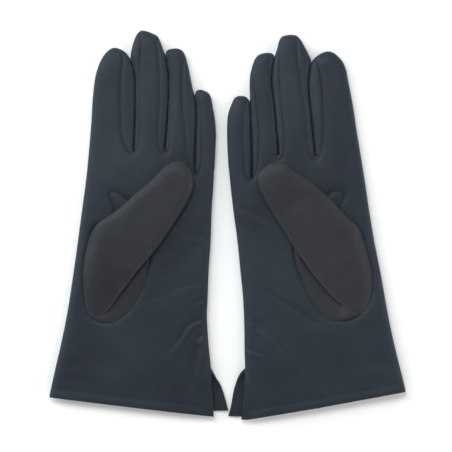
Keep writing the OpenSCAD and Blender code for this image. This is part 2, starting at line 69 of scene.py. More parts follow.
# ---------------------------------------------------------------- the two gloves' outlines
# edge: x, y, radius of the rolled edge there, from the cuff's index corner round the fingers to the vent.
# seams: where each pair of fourchettes meets the palm strips. Thumb edges are (along, across) the thumb.
# hinge: y of the three long fingers' hinge line and of the little finger's; wall_x: where one gives way to
# the other; crease_from: how far along the thumb its inner edge starts to be a fold; closing: the points
# that close the hole's open side, in the thumb's own directions.
GLOVES = {
    "left": dict(
        hinge=(53.0, 37.0), wall_x=-22.85, crease_from=-4.0, closing=[],
        edge=[
            (-124.6, -119.6, 5), (-121.4, -105, 5.5), (-116.6, -84, 6), (-112.3, -63, 6), (-107.9, -35, 6),
            (-104.5, -10.5, 6), (-101.7, 10.5, 6), (-98.9, 31.5, 6), (-96.8, 52.5, 6), (-95.2, 72, 6),
            (-94, 91, 6.5), (-91.6, 107, 7), (-87.3, 117.4, 8), (-83, 122.4, 8), (-79.3, 124.1, 8),
            (-74.5, 122.9, 8), (-70.7, 120.3, 8), (-68.5, 117.2, 8), (-67.1, 114, 8),
            (-65.9, 110, 9), (-65, 103, 9),
            (-64.7, 92, 9), (-64.9, 78, 9), (-65.4, 62, 8.5), (-65.7, 54, 6), (-65.35, 51.7, 3.5),
            (-65, 54, 4), (-64.7, 62, 4.5), (-64.2, 78, 4.5), (-64.1, 92, 4.5), (-64.4, 103, 5),
            (-65.6, 110, 5.5), (-66.9, 114, 6), (-67.7, 117.8, 6.5), (-67.1, 122.2, 7), (-65.4, 128.8, 7.5),
            (-62.9, 134, 7.5), (-60.2, 136.1, 7.5), (-56.5, 135.7, 7.5), (-52.4, 134.1, 7.5),
            (-49, 132.3, 7.5), (-46.9, 128.5, 7.5), (-44.6, 122.2, 7.5), (-43.6, 119.4, 7.5),
            (-42.9, 116.2, 7.5),
            (-41.9, 109, 7), (-41.2, 101, 7), (-41.4, 88, 7), (-42.2, 74, 7), (-43.1, 61, 6.5),
            (-43.9, 54, 5), (-43.6, 51.9, 3.5), (-43.3, 54, 3.5), (-42.6, 61, 3.5), (-41.6, 74, 3.5),
            (-40.8, 88, 3.5), (-40.6, 101, 4), (-41.3, 109, 5), (-42.4, 116.2, 6), (-43.1, 119.4, 6.5),
            (-42.4, 121.9, 7), (-40.2, 123.1, 7), (-37, 123.6, 7), (-34, 123.4, 7), (-31.4, 122, 7),
            (-29.7, 119.3, 7),
            (-27.5, 112, 7), (-25.8, 103.6, 7), (-24, 94.5, 7), (-23.2, 91, 7), (-22.4, 86, 7),
            (-21.9, 78, 7), (-22.4, 64, 7), (-23, 50, 6), (-23.2, 40, 4.5), (-22.8, 36.4, 3.5),
            (-22.4, 40, 4), (-22.3, 50, 6), (-21.8, 64, 6.5), (-21.4, 78, 6.5), (-21.8, 86, 6.5),
            (-22.5, 91, 7), (-21.4, 94, 7), (-18.8, 94.8, 7), (-15.8, 93.9, 7), (-12.8, 92, 7),
            (-11.2, 88.6, 7), (-10, 81.9, 6), (-8.6, 73.5, 6), (-7.9, 63, 6), (-8.3, 52.5, 6),
            (-8.9, 40, 6), (-9.6, 27, 6), (-10.7, 10.5, 6), (-11.4, -10.5, 6), (-12.8, -31.5, 6),
            (-13.6, -52.5, 6), (-14.1, -63, 6), (-13.5, -75, 5.5), (-12.7, -86, 5), (-11.7, -95, 4.5),
            (-11.4, -100.1, 4)],
        side_seam_from=(-8.9, 40),
        palm_end=[(-11.4, -100.1), (-10.9, -110), (-9.9, -124), (-9.4, -134.2)],
        palm_cuff=[(-9.4, -134.2), (-60, -128.4), (-124.8, -120.4), (-124.6, -119.6)],
        back_end=[(-11.4, -100.1), (-8.2, -106.3), (-4.5, -112.5), (-1.7, -121), (0.7, -130)],
        back_cuff=[(0.7, -130), (-9.5, -130.4), (-60, -126.9), (-124.6, -119.6)],
        seams=[
            [(-73.2, 127), (-72.8, 121), (-73, 112.7), (-74.5, 105), (-74.8, 91), (-74.8, 77), (-74.1, 64.4),
             (-72.3, 56), (-69.9, 51.8), (-66.7, 50), (-63.9, 51.1), (-62.5, 55.3), (-61.8, 63),
             (-61.7, 80.5), (-61.8, 91), (-61.5, 105), (-60.8, 119), (-60.8, 128.1), (-61, 141)],
            [(-49.6, 139), (-49.1, 130.9), (-48.6, 122.5), (-47.8, 112), (-47.5, 98), (-47.6, 84),
             (-48.2, 73.5), (-48.5, 63), (-48.2, 56), (-46.8, 51.8), (-44, 50.2), (-41.7, 51), (-40.8, 55),
             (-40.9, 62), (-40.2, 74), (-39.5, 88), (-39.4, 100), (-40.2, 109), (-41, 116), (-41.3, 127)],
            [(-30.8, 127), (-30.6, 121), (-30.4, 114.1), (-31.4, 106.4), (-31.7, 98), (-31.6, 84),
             (-30.7, 73.5), (-29.6, 63), (-28.6, 52.5), (-27.5, 43.4), (-25.2, 37.6), (-21.9, 35),
             (-19.6, 38), (-18.5, 45), (-18.4, 52.5), (-18.8, 66.5), (-19.5, 75), (-20.2, 84), (-20.7, 90),
             (-20.8, 98)]],
        quirk=[(-76, 2), (-79.4, 12.2), (-82.3, 20), (-81.7, 22.6), (-78.8, 23.4), (-75.5, 22.4),
               (-71.4, 19), (-65, 12), (-66, 0)],
        hole=[(-92.4, -1), (-95.3, -5.9), (-97.8, -13.3), (-99.8, -21.7), (-101, -31.5), (-101, -40.6),
              (-100.3, -51.1), (-98.6, -58.7), (-95.3, -64), (-91.2, -66.9), (-85.4, -68.2),
              (-79.7, -67.9), (-74.7, -65.2), (-68.9, -60.3), (-64, -53.8), (-59.8, -45.5),
              (-57.4, -38.1), (-55.8, -30.7), (-54.1, -23.2)],
        thumb_left=[(-4.6, 0), (-1.8, -5.5), (3.9, -10.8), (12.5, -16.8), (20.3, -21.5), (29.3, -25.6),
                    (37.5, -28.2), (45.2, -29.8), (50.9, -29.9), (58.2, -27.2), (70.1, -21.7),
                    (84.1, -17.6), (99.7, -12.5), (111, -9.9), (116.3, -7.2), (118.8, -4.9), (120.6, -1)],
        thumb_right=[(-4.6, 1.5), (-0.6, 4.4), (2.9, 7.1), (7.9, 8.7), (15.7, 9.2), (29.1, 10.6),
                     (42.5, 12.1), (53.4, 14.2), (65.6, 15.6), (78.7, 16.4), (92.3, 16.7), (100.8, 16.5),
                     (108.7, 15.2), (113.8, 12.5), (118.1, 8.6), (120.1, 3.9), (120.6, 1.8)],
        # creases: points from the end where each is deepest, width, height (a valley is negative)
        folds=[
            ([(-14.6, -65), (-20, -66.5), (-27, -70), (-33, -79), (-44, -91)], 1.3, -0.85),
            ([(-14.4, -75.5), (-19, -78.5), (-24, -84)], 1.2, -0.75),
            ([(-14.6, -51.6), (-18, -52.6), (-22, -55)], 1.1, -0.7),
            ([(-20.6, -86), (-22.0, -93), (-23.0, -102), (-23.3, -115)], 2.2, -1.3),
            ([(-17, -40.3), (-30, -42.7), (-42, -47.5), (-66, -58)], 1.8, -0.18),
            ([(-12.6, -8), (-24, -7), (-38, -10)], 2.4, -0.2),
            ([(-100, -20), (-102, -48), (-98, -66), (-86, -76)], 5.0, 0.2),
            ([(-118, -106), (-96, -104), (-64, -112)], 4.5, 0.22),
            ([(-55.2, 112), (-53.9, 101), (-53.6, 92)], 1.2, -0.3),
            ([(-84, 96), (-80, 104), (-78.5, 112)], 1.6, -0.18)],
    ),
    "right": dict(
        hinge=(50.0, 34.0), wall_x=-17.4, crease_from=2.0,
        edge=[
            (-124.9, -115.7, 5), (-122, -104, 5.5), (-117, -84, 6), (-112.6, -63, 6), (-107.6, -35, 6),
            (-102.8, -10.5, 6), (-99.3, 10.5, 6), (-96.2, 31.5, 6), (-93.2, 50, 6), (-90.6, 66, 6),
            (-87.9, 84, 6.5), (-85.2, 98, 7), (-83, 109, 7.5), (-80.6, 114.6, 8), (-77, 118.6, 8),
            (-73.8, 120.9, 8), (-70.4, 121.6, 8), (-65.8, 120.2, 8), (-61.9, 117.6, 8), (-59.6, 115, 8),
            (-58.7, 112.5, 8), (-57.7, 107.5, 8.5), (-57.1, 98, 8.5), (-58.2, 84, 8.5), (-59.6, 70, 8.5),
            (-61, 57, 8),
            (-61.5, 51.2, 6), (-61.2, 48.7, 3.5), (-60.9, 51.2, 4), (-60.4, 57, 5), (-59, 70, 5),
            (-57.6, 84, 5), (-56.5, 98, 5), (-57.3, 107.5, 5.5), (-58.4, 112.5, 6),
            (-58.6, 115.4, 6.5), (-57.3, 118.8, 7),
            (-54.6, 124, 7.5), (-51.4, 129.6, 7.5), (-48.6, 132.5, 7.5), (-45, 133.2, 7.5), (-41, 132.8, 7.5),
            (-38.1, 131.7, 7.5), (-36.2, 128.6, 7.5), (-35, 124, 7.5), (-33.3, 118, 7), (-32, 111, 6.5),
            (-31.2, 101.5, 6), (-32.3, 90, 6), (-33.8, 76, 6), (-34.9, 62, 6), (-35.8, 52, 5),
            (-35.5, 48.9, 3.5), (-35.2, 52, 3.5), (-34.3, 62, 3.5), (-33.2, 76, 3.5), (-31.7, 90, 3.5),
            (-30.6, 101.5, 4), (-31.4, 111, 5), (-32.7, 118, 6.5), (-31.5, 120, 7), (-28.7, 120.6, 7),
            (-25.4, 120.3, 7), (-22, 119.1, 7), (-19.4, 116.2, 7), (-17.3, 110.6, 7),
            (-15.9, 104.3, 6.5), (-15.6, 97, 6), (-15.9, 88, 6), (-16.1, 84.5, 6), (-16.5, 78, 6),
            (-17.1, 62, 6),
            (-17.7, 46, 5), (-17.8, 38, 4.5), (-17.4, 33.6, 3.5), (-17, 38, 4.5), (-17.1, 46, 6),
            (-16.5, 62, 6.5), (-15.9, 78, 6.5), (-15.6, 84.5, 6.5), (-14.9, 87.6, 7), (-12.9, 89.8, 7),
            (-8.6, 90.4, 7), (-5.2, 89, 7), (-3.2, 85.2, 7), (-0.7, 78.4, 6.5), (0.1, 70, 6),
            (0.1, 59.5, 6), (-0.5, 45.5, 6), (-1.4, 34, 6), (-4, 10.5, 6), (-6.8, -10.5, 6),
            (-8.9, -31.5, 6), (-10.9, -52.5, 6), (-11.7, -73.5, 5.5), (-11.9, -90, 5), (-12.3, -100.3, 4)],
        side_seam_from=(-0.8, 40),
        palm_end=[(-12.3, -100.3), (-11.9, -112), (-10.9, -124), (-9.8, -136.2)],
        palm_cuff=[(-9.8, -136.2), (-14, -136.3), (-60, -128.6), (-125.1, -116.6), (-124.9, -115.7)],
        back_end=[(-12.3, -100.3), (-8.7, -104.4), (-5, -114.2), (-2.4, -127.7), (-0.5, -134)],
        back_cuff=[(-0.5, -134), (-10, -134.3), (-60, -127), (-124.9, -115.7)],
        seams=[
            [(-60.4, 120.5), (-61.4, 115.5), (-62.4, 112.7), (-64.2, 107.1), (-65.6, 100.1), (-66.6, 91),
             (-67, 73.5), (-66.8, 59.5), (-65.9, 53.2), (-64.2, 48.3), (-62.1, 45.8), (-60, 46.2),
             (-57.9, 49), (-56.5, 54.6), (-55.8, 63), (-55.1, 73.5), (-53.7, 84), (-51.9, 94.5),
             (-50.5, 104.3), (-48.9, 113.4), (-48.4, 122.5), (-48.8, 131), (-49, 138)],
            [(-36.5, 137), (-36.2, 129.5), (-35.9, 119), (-36.2, 105), (-36.9, 91), (-37.6, 80.5),
             (-39, 70), (-39.5, 59.5), (-39.3, 50), (-37.9, 46.8), (-35.6, 46.2), (-33.8, 49.5),
             (-33.2, 56), (-32.4, 66), (-31.6, 77), (-30.4, 90), (-29.5, 101.5), (-29.8, 111),
             (-30.3, 117), (-30.5, 125)],
            [(-19.9, 124), (-20, 117.6), (-18.3, 109.9), (-17.8, 101.5), (-18.7, 93.1), (-20.1, 82.6),
             (-21.3, 73.5), (-22, 63), (-21.8, 52.5), (-21.2, 42), (-19.2, 34.6), (-15.8, 31.4),
             (-13.1, 34.4), (-11.8, 45.5), (-11.1, 56), (-11, 66.5), (-11.5, 73.5), (-12.7, 80.5),
             (-14, 87.5), (-14.6, 95)]],
        quirk=[(-74, 0), (-77.8, 11.3), (-81.3, 20), (-80.2, 22.7), (-76.5, 24), (-73.2, 22.9),
               (-70.2, 20.2), (-64, 12), (-65, 0)],
        hole=[(-93.8, -5.2), (-96.2, -13.3), (-99.1, -23.2), (-101.2, -33.9), (-101.6, -42.2),
              (-100.4, -50.4), (-97.1, -57.8), (-92.1, -62.8), (-85.5, -66.1), (-78.1, -66.9),
              (-71.5, -65.7), (-64.9, -61.2), (-59.2, -54.6), (-55.1, -46.3), (-51.8, -37.2),
              (-48.5, -29.8), (-46.8, -21.6), (-46.6, -18), (-48, -14.8)],
        closing=[(54.4, 14.0), (54.2, 2.0)],
        thumb_left=[(-0.6, -3.5), (4.4, -11.3), (10.8, -16.5), (18.1, -20.5), (28.4, -24.2), (38.4, -26.8),
                    (46.6, -28.7), (51.9, -28.2), (58, -26.1), (70, -23.7), (81.2, -20.9), (94.5, -16.4),
                    (105.6, -11.6), (115.2, -7.6), (119.1, -3.3), (120.8, 0.5)],
        thumb_right=[(-0.6, 1), (4.3, 6.2), (12.4, 9.9), (20.7, 12.4), (33.4, 14.6), (49.7, 16.3),
                     (62.1, 17.2), (74.2, 17.2), (86.1, 17.5), (100.5, 17.5), (110.6, 16.6), (116.7, 14),
                     (119.8, 9.7), (120.8, 5)],
        folds=[
            ([(-21, -71), (-29, -76), (-36, -84), (-42.5, -92.5)], 1.5, -0.85),
            ([(-13.0, -86), (-20, -89), (-27, -91)], 1.3, -0.8),
            ([(-18.5, -67.5), (-25, -70.5), (-31, -74)], 1.2, -0.7),
            ([(-15, -103), (-21.1, -113.7), (-27.6, -130)], 2.0, -0.9),
            ([(-63, -68.4), (-45.6, -57.7), (-31.6, -49), (-14, -37)], 1.9, -0.5),
            ([(-9, 11.4), (-20, 7), (-31.6, 1.7), (-42, -7)], 2.4, -0.24),
            ([(-100, -22), (-103, -48), (-98, -65), (-84, -74)], 5.0, 0.2),
            ([(-118, -104), (-96, -104), (-60, -112)], 4.5, 0.22),
            ([(-73, 94), (-71, 102), (-71.4, 110)], 1.6, -0.18)],
    ),
}


# ---------------------------------------------------------------- curves and distances
def smooth(points, step=1.2):
    """A centripetal spline that keeps every given point; further columns follow along."""
    p = np.array(points, float)
    q = np.vstack([2 * p[:1] - p[1:2], p, 2 * p[-1:] - p[-2:-1]])
    out = []
    for i in range(1, len(q) - 2):
        a, b, c, d = q[i - 1:i + 3]
        t = np.cumsum([0] + [max(np.linalg.norm(v[:2] - u[:2]) ** 0.5, 1e-6)
                             for u, v in ((a, b), (b, c), (c, d))])
        n = max(1, int(round(np.linalg.norm(c[:2] - b[:2]) / step)))
        s = np.linspace(t[1], t[2], n + 1)[:-1, None]
        ab = ((t[1] - s) * a + (s - t[0]) * b) / (t[1] - t[0])
        bc = ((t[2] - s) * b + (s - t[1]) * c) / (t[2] - t[1])
        cd = ((t[3] - s) * c + (s - t[2]) * d) / (t[3] - t[2])
        abc = ((t[2] - s) * ab + (s - t[0]) * bc) / (t[2] - t[0])
        bcd = ((t[3] - s) * bc + (s - t[1]) * cd) / (t[3] - t[1])
        out.append(((t[2] - s) * abc + (s - t[1]) * bcd) / (t[2] - t[1]))
    return np.vstack(out + [p[-1:]])


def even(line, step):
    """The same line with points an even distance apart."""
    line = np.array(line, float)
    run = run_along(line)
    at = np.linspace(0, run[-1], max(2, int(round(run[-1] / step)) + 1))
    return np.column_stack([np.interp(at, run, line[:, k]) for k in range(line.shape[1])])


def with_crossings(edge, lines):
    """The edge with a point wherever one of the lines crosses it, so that both layers share it."""
    out = [edge[0]]
    for p, q in zip(edge[:-1], edge[1:]):
        d, found = q - p, []
        for line in lines:
            a, e = line[:-1, :2], np.diff(line[:, :2], axis=0)
            den = d[0] * e[:, 1] - d[1] * e[:, 0]
            ok = np.abs(den) > 1e-9
            den = np.where(ok, den, 1)
            r = a - p[:2]
            t = (r[:, 0] * e[:, 1] - r[:, 1] * e[:, 0]) / den
            u = (r[:, 0] * d[1] - r[:, 1] * d[0]) / den
            found += list(t[ok & (t > 0.002) & (t < 0.998) & (u >= 0) & (u <= 1)])
        out += [p + d * t for t in sorted(found)] + [q]
    return np.array(out)


def normals(line):
    """The unit direction across a line, to its left, at each of its points."""
    t = np.gradient(line[:, :2], axis=0)
    return np.column_stack([-t[:, 1], t[:, 0]]) / np.maximum(np.linalg.norm(t, axis=1), 1e-9)[:, None]


def run_along(line):
    """How far along a line each of its points is."""
    return np.concatenate([[0], np.cumsum(np.linalg.norm(np.diff(line[:, :2], axis=0), axis=1))])


def nearest(points, line, size=None, batch=1500):
    """Distance from each point to an open line, or the least of distance / size where size is given."""
    a, b = line[:-1, :2], line[1:, :2]
    d = b - a
    dd = np.maximum((d * d).sum(1), 1e-12)
    scale = np.ones(len(a)) if size is None else (size[:-1] + size[1:]) / 2
    out = np.empty(len(points))
    for k in range(0, len(points), batch):
        p = points[k:k + batch, None, :2]
        t = np.clip(((p - a) * d).sum(2) / dd, 0, 1)
        out[k:k + batch] = (np.linalg.norm(p - a - t[..., None] * d, axis=2) / scale).min(1)
    return out


def inside(points, polygon):
    """Which points are inside a polygon, given with or without its first point again at the end."""
    x, y = points[:, 0], points[:, 1]
    hit = np.zeros(len(points), bool)
    p = np.asarray(polygon)[:, :2]
    for (x0, y0), (x1, y1) in zip(p, np.roll(p, -1, 0)):
        if y0 != y1:
            cross = (y0 > y) != (y1 > y)
            hit ^= cross & (x < (x1 - x0) * (y - y0) / (y1 - y0) + x0)
    return hit


def ease(x):
    """0 to 1 with soft ends."""
    x = np.clip(x, 0, 1)
    return x * x * (3 - 2 * x)


def roll(x):
    """Height of a round edge, 0 to 1, at x radii from it."""
    x = np.clip(x, 0, 1)
    return np.sqrt(x * (2 - x))


def groove(distance, depth, width):
    """A soft line pressed in to depth."""
    return depth * np.exp(-(distance / width) ** 2)


def slope(distance, depth, width):
    """A fall that is steepest beside its line and reaches far."""
    return depth * np.exp(-distance / width)


def clouds(points, size, seed):
    """Smooth noise with waves of about the given size."""
    return np.array([noise.noise(Vector((p[0] / size, p[1] / size, seed))) for p in points])


def beside(points, line):
    """Distance to an open line, which side of it, and how far along it, for each point."""
    a, d = line[:-1, :2], np.diff(line[:, :2], axis=0)
    dd = (d * d).sum(1)
    rel = points[:, None, :2] - a
    t = np.clip((rel * d).sum(2) / dd, 0, 1)
    off = rel - t[..., None] * d
    dist = np.linalg.norm(off, axis=2)
    k = dist.argmin(1)
    i = np.arange(len(points))
    side = np.sign(d[k, 0] * off[i, k, 1] - d[k, 1] * off[i, k, 0])
    return dist[i, k], side, (k + t[i, k]) / len(a)


def folds_at(points, folds):
    """The creases' height at each point: a ridge or valley with a weaker opposite one on its left."""
    z = np.zeros(len(points))
    for line, width, high in folds:
        dist, side, run = beside(points, smooth(line, 2.5))
        fade = np.cos(np.clip(run, 0, 0.98) * math.pi / 2) ** 0.8
        fade *= np.exp(-(np.maximum(dist - 3 * width, 0)) ** 2)
        z += fade * high * (groove(dist, 1, width) - groove(dist * side - 1.9 * width, 0.55, width))
    return z


# ---------------------------------------------------------------- triangulated skins
class Points:
    """Plan points kept apart from each other, so the triangles stay even."""
    CELL = 2

    def __init__(self):
        self.list, self.cells = [], {}

    def cell(self, p):
        return int(p[0] // self.CELL), int(p[1] // self.CELL)

    def near(self, p, least):
        cx, cy = self.cell(p)
        for i in (cx - 1, cx, cx + 1):
            for j in (cy - 1, cy, cy + 1):
                for q in self.cells.get((i, j), ()):
                    if (p[0] - q[0]) ** 2 + (p[1] - q[1]) ** 2 < least * least:
                        return True
        return False

    def add(self, p, least=0.0):
        if least and self.near(p, least):
            return None
        self.list.append((float(p[0]), float(p[1])))
        self.cells.setdefault(self.cell(p), []).append(p)
        return len(self.list) - 1


def triangulate(outline, outline_rows, lines, lines_rows, hole=None, grid_step=GRID):
    """Triangles inside a closed outline, outside the hole, that follow the outline and every given line."""
    row_apart, grid_apart = 0.62, 0.8     # least distance between a row's points, and in steps of the grid
    pts, edges = Points(), []
    for line, closed in [(outline, True)] + [(l, False) for l in lines]:
        ids = [pts.add(p) for p in line[:, :2]]
        edges += list(zip(ids, ids[1:])) + ([(ids[-1], ids[0])] if closed else [])
    for line, rows in zip([outline] + lines, [outline_rows] + lines_rows):
        n = normals(line)
        for d in rows:
            for side in (1, -1):
                q = line[:, :2] + side * d * n
                q = q[inside(q, outline)]
                q = q[nearest(q, line) > 0.93 * d]
                for p in q:
                    pts.add(p, 0.8 * d if d < 0.5 else row_apart)
    lo, hi = outline[:, :2].min(0), outline[:, :2].max(0)
    rows = np.arange(lo[1], hi[1], grid_step * 0.866)     # the height of an even triangle
    grid = np.array([(x + (k % 2) * grid_step / 2, y) for k, y in enumerate(rows)
                     for x in np.arange(lo[0], hi[0], grid_step)])
    for p in grid[inside(grid, outline)]:
        pts.add(p, min(grid_apart * grid_step, 1.9))
    verts, _, faces, _, _, _ = delaunay_2d_cdt(
        [Vector(p) for p in pts.list], edges, [], 0, 1e-4, True)
    v = np.array([(q.x, q.y) for q in verts])
    f = np.array([t for t in faces if len(t) == 3])
    mid = v[f].mean(1)
    f = f[inside(mid, outline) & (True if hole is None else ~inside(mid, hole))]
    a, b, c = v[f[:, 0]], v[f[:, 1]], v[f[:, 2]]
    turn = (b[:, 0] - a[:, 0]) * (c[:, 1] - a[:, 1]) - (b[:, 1] - a[:, 1]) * (c[:, 0] - a[:, 0])
    f = f[np.abs(turn) > 1e-6]
    turn = turn[np.abs(turn) > 1e-6]
    f[turn < 0] = f[turn < 0][:, ::-1]
    return v, f


def split_fingers(v, f, g, least=60):
    """Each triangle's body: hand, or the finger that it is connected to above its hinge line."""
    mid = v[f].mean(1)
    high, low = g["hinge"]
    above = np.where(mid[:, 0] > g["wall_x"], mid[:, 1] > low, mid[:, 1] > high)
    parent = {}

    def root(i):
        while parent.setdefault(i, i) != i:
            parent[i] = parent[parent[i]]
            i = parent[i]
        return i

    for t in f[above]:
        r = root(int(t[0]))
        parent[root(int(t[1]))] = r
        parent[root(int(t[2]))] = root(r)
    groups = {}
    for i in np.nonzero(above)[0]:
        groups.setdefault(root(int(f[i][0])), []).append(i)
    ranked = sorted((m for m in groups.values() if len(m) > least), key=lambda m: mid[m, 0].mean())
    body = np.array(["hand"] * len(f), dtype=object)
    for name, members in zip(FINGERS, ranked):
        body[members] = name
    return body


# ---------------------------------------------------------------- meshes
def to_metres(points, side):
    """The place in the frame: the right glove is the mirror image of what is described."""
    p = np.array(points, float) * MM
    if side == "right":
        p[:, 0] *= -1
    return p


def mesh_piece(name, verts, faces, side, thickness=LEATHER, inset=0.0, angle=50, weld=True, wear_and_highlight=None):
    """A smooth closed piece: the given surface, set in by inset, thickened on its inner side."""
    bm = bmesh.new()
    # per point: rub wear and a painted highlight, strongest at the rolled edges
    layer = bm.verts.layers.float.new("wear_and_highlight")
    co = to_metres(verts, side)
    used = sorted(set(int(i) for face in faces for i in face))
    table = {}
    for i in used:
        table[i] = bm.verts.new(co[i])
        table[i][layer] = 0.0 if wear_and_highlight is None else float(wear_and_highlight[i])
    for face in faces:
        loop = [table[int(i)] for i in face]
        bm.faces.new(loop[::-1] if side == "right" else loop)
    if weld:
        bmesh.ops.remove_doubles(bm, verts=bm.verts, dist=2e-6)
        bmesh.ops.dissolve_degenerate(bm, edges=bm.edges, dist=1e-7)
    if inset:
        bm.normal_update()
        moved = [(v, v.co - v.normal * inset * MM) for v in bm.verts]
        for v, place in moved:
            v.co = place
    if thickness:
        thicken(bm, thickness * MM, layer)
    mesh = bpy.data.meshes.new(name)
    bm.to_mesh(mesh)
    bm.free()
    mesh.polygons.foreach_set("use_smooth", [True] * len(mesh.polygons))
    mesh.set_sharp_from_angle(angle=math.radians(angle))
    obj = bpy.data.objects.new(name, mesh)
    bpy.context.scene.collection.objects.link(obj)
    return obj


def thicken(bm, depth, layer):
    """Adds the same surface again at depth, facing inwards, and walls along every open edge."""
    bm.normal_update()
    rim = [e for e in bm.edges if len(e.link_faces) == 1]
    inner = {}
    for v in list(bm.verts):
        inner[v] = bm.verts.new(v.co - v.normal * depth)
        inner[v][layer] = 0.0
    for face in list(bm.faces):
        bm.faces.new([inner[v] for v in reversed(face.verts)])
    for e in rim:
        loop = e.link_loops[0]
        a, b = loop.vert, loop.link_loop_next.vert
        bm.faces.new((b, a, inner[a], inner[b]))


def join_parts(parts):
    """Several (vertices, faces) as one."""
    verts, faces, base = [], [], 0
    for v, f in parts:
        verts.append(np.asarray(v, float))
        faces += [[int(i) + base for i in face] for face in f]
        base += len(v)
    return np.vstack(verts), faces


def capsules(rungs, radius):
    """Short threads, each from one point to another, thinner where they enter the leather."""
    sides = 6
    # share of the length, share of the radius, and how many radii above the line
    profile = ((0, 0.5, -0.6), (0.25, 1, 0.35), (0.75, 1, 0.35), (1, 0.5, -0.6))
    verts, faces = [], []
    for a, b, up in rungs:
        along = (b - a) / max(np.linalg.norm(b - a), 1e-9)
        u = np.cross(along, up)
        u /= max(np.linalg.norm(u), 1e-9)
        w = np.cross(along, u)
        base = len(verts)
        for t, r, lift in profile:
            c = a + (b - a) * t + up * lift * radius
            verts += [c + radius * r * (math.cos(q) * u + math.sin(q) * w)
                      for q in np.linspace(0, 2 * math.pi, sides + 1)[:-1]]
        last = base + sides * (len(profile) - 1)
        for ring in range(base, last, sides):
            for j in range(sides):
                i, n = ring + j, ring + (j + 1) % sides
                faces.append((i, n, n + sides, i + sides))
        faces.append([base + j for j in range(sides)][::-1])
        faces.append([last + j for j in range(sides)])
    return np.array(verts), faces


# ---------------------------------------------------------------- materials
class Nodes:
    """A new material's nodes. A source is a (node, output) pair."""

    def __init__(self, name):
        self.material = bpy.data.materials.new(name)
        self.material.use_nodes = True
        self.tree = self.material.node_tree
        self.shader = self.tree.nodes["Principled BSDF"]
        self.place = self.add("ShaderNodeTexCoord"), "Object"

    def add(self, kind, **values):
        n = self.tree.nodes.new(kind)
        for k, v in values.items():
            if k in n.inputs:
                n.inputs[k].default_value = v
            else:
                setattr(n, k, v)
        return n

    def put(self, v, node, socket):
        """A source is joined to the socket; anything else is its value."""
        if isinstance(v, tuple) and isinstance(v[0], bpy.types.Node):
            self.tree.links.new(v[0].outputs[v[1]], node.inputs[socket])
        else:
            node.inputs[socket].default_value = (*v, 1) if isinstance(v, tuple) else v

    def texture(self, kind, place=None, **values):
        n = self.add("ShaderNodeTex" + kind, **values)
        self.put(place or self.place, n, "Vector")
        return n

    def maths(self, operation, a, b, clamp=False):
        n = self.add("ShaderNodeMath", operation=operation, use_clamp=clamp)
        self.put(a, n, 0)
        self.put(b, n, 1)
        return n, 0

    def blend_of(self, a, a_share, b, b_share):
        return self.maths("ADD", self.maths("MULTIPLY", a, a_share), self.maths("MULTIPLY", b, b_share))

    def mixed(self, factor, a, b, blend="MIX"):
        n = self.add("ShaderNodeMix", data_type="RGBA", blend_type=blend)
        for v, socket in ((factor, "Factor"), (a, 6), (b, 7)):
            self.put(v, n, socket)
        return n, 2

    def ranged(self, source, **ends):
        n = self.add("ShaderNodeMapRange", **{k.replace("_", " "): v for k, v in ends.items()})
        self.put(source, n, "Value")
        return n, "Result"

    def relief(self, height, strength, distance, under=None):
        """A normal from a height, over another normal."""
        n = self.add("ShaderNodeBump", Strength=strength, Distance=distance)
        self.put(height, n, "Height")
        if under:
            self.put(under, n, "Normal")
        return n, "Normal"

    def finish(self, **surface):
        for k, v in surface.items():
            self.put(v, self.shader, k.replace("_", " "))
        return self.material


def leather(name, dark, light, roughness):
    """Smooth lambskin: fine pores and creases, soft cloudy colour, lighter along folds and seams from rub
    wear and a painted highlight.
    """
    t = Nodes(name)
    warp = t.texture("Noise", Scale=180.0, Detail=2.0)
    bent = t.add("ShaderNodeMix", data_type="VECTOR")
    for v, socket in ((0.0006, "Factor"), (t.place, 4), ((warp, "Color"), 5)):
        t.put(v, bent, socket)
    pores = t.texture("Voronoi", (bent, 1), Scale=3100.0, feature="F1")
    cells = t.texture("Voronoi", (bent, 1), Scale=1750.0, feature="DISTANCE_TO_EDGE")
    crease = t.texture("Noise", Scale=120.0, Detail=6.0, Roughness=0.6)
    cloud = t.texture("Noise", Scale=34.0, Detail=4.0, Roughness=0.55)
    broad = t.texture("Noise", Scale=11.0, Detail=2.0)
    wear_and_highlight = t.add("ShaderNodeAttribute", attribute_name="wear_and_highlight"), "Fac"

    tone = t.blend_of((cloud, "Fac"), 0.55, (broad, "Fac"), 0.45)
    colour = t.mixed(t.ranged(tone, From_Min=0.34, From_Max=0.66), dark, light)
    # rolled edges painted lighter and bluer, partly rub wear and partly a painted highlight; they are also
    # made less rough
    rubbed_and_highlit = t.maths("MULTIPLY", wear_and_highlight, t.maths("MULTIPLY", (crease, "Fac"), 0.9), True)
    colour = t.mixed(rubbed_and_highlit, colour, tuple(1.9 * c for c in light))
    pit = t.ranged((cells, "Distance"), From_Min=0.0, From_Max=0.08, To_Min=0.84, To_Max=1.0)
    shade = t.add("ShaderNodeCombineColor")
    for k in range(3):
        t.put(pit, shade, k)
    colour = t.mixed(1.0, colour, (shade, "Color"), "MULTIPLY")

    rough = t.maths("ADD", t.maths("MULTIPLY", (crease, "Fac"), 0.16), roughness - 0.08)
    rough = t.maths("SUBTRACT", rough, t.maths("MULTIPLY", wear_and_highlight, 0.07), True)
    grain = t.blend_of((cells, "Distance"), 1.6, (pores, "Distance"), 0.35)
    fine = t.relief(grain, 0.4, 0.00006)
    return t.finish(Base_Color=colour, Roughness=rough, Normal=t.relief((crease, "Fac"), 0.6, 0.0004, fine),
                    IOR=1.48, Specular_IOR_Level=0.2, Sheen_Weight=0.02, Sheen_Roughness=0.45,
                    Sheen_Tint=(0.72, 0.82, 1.0))


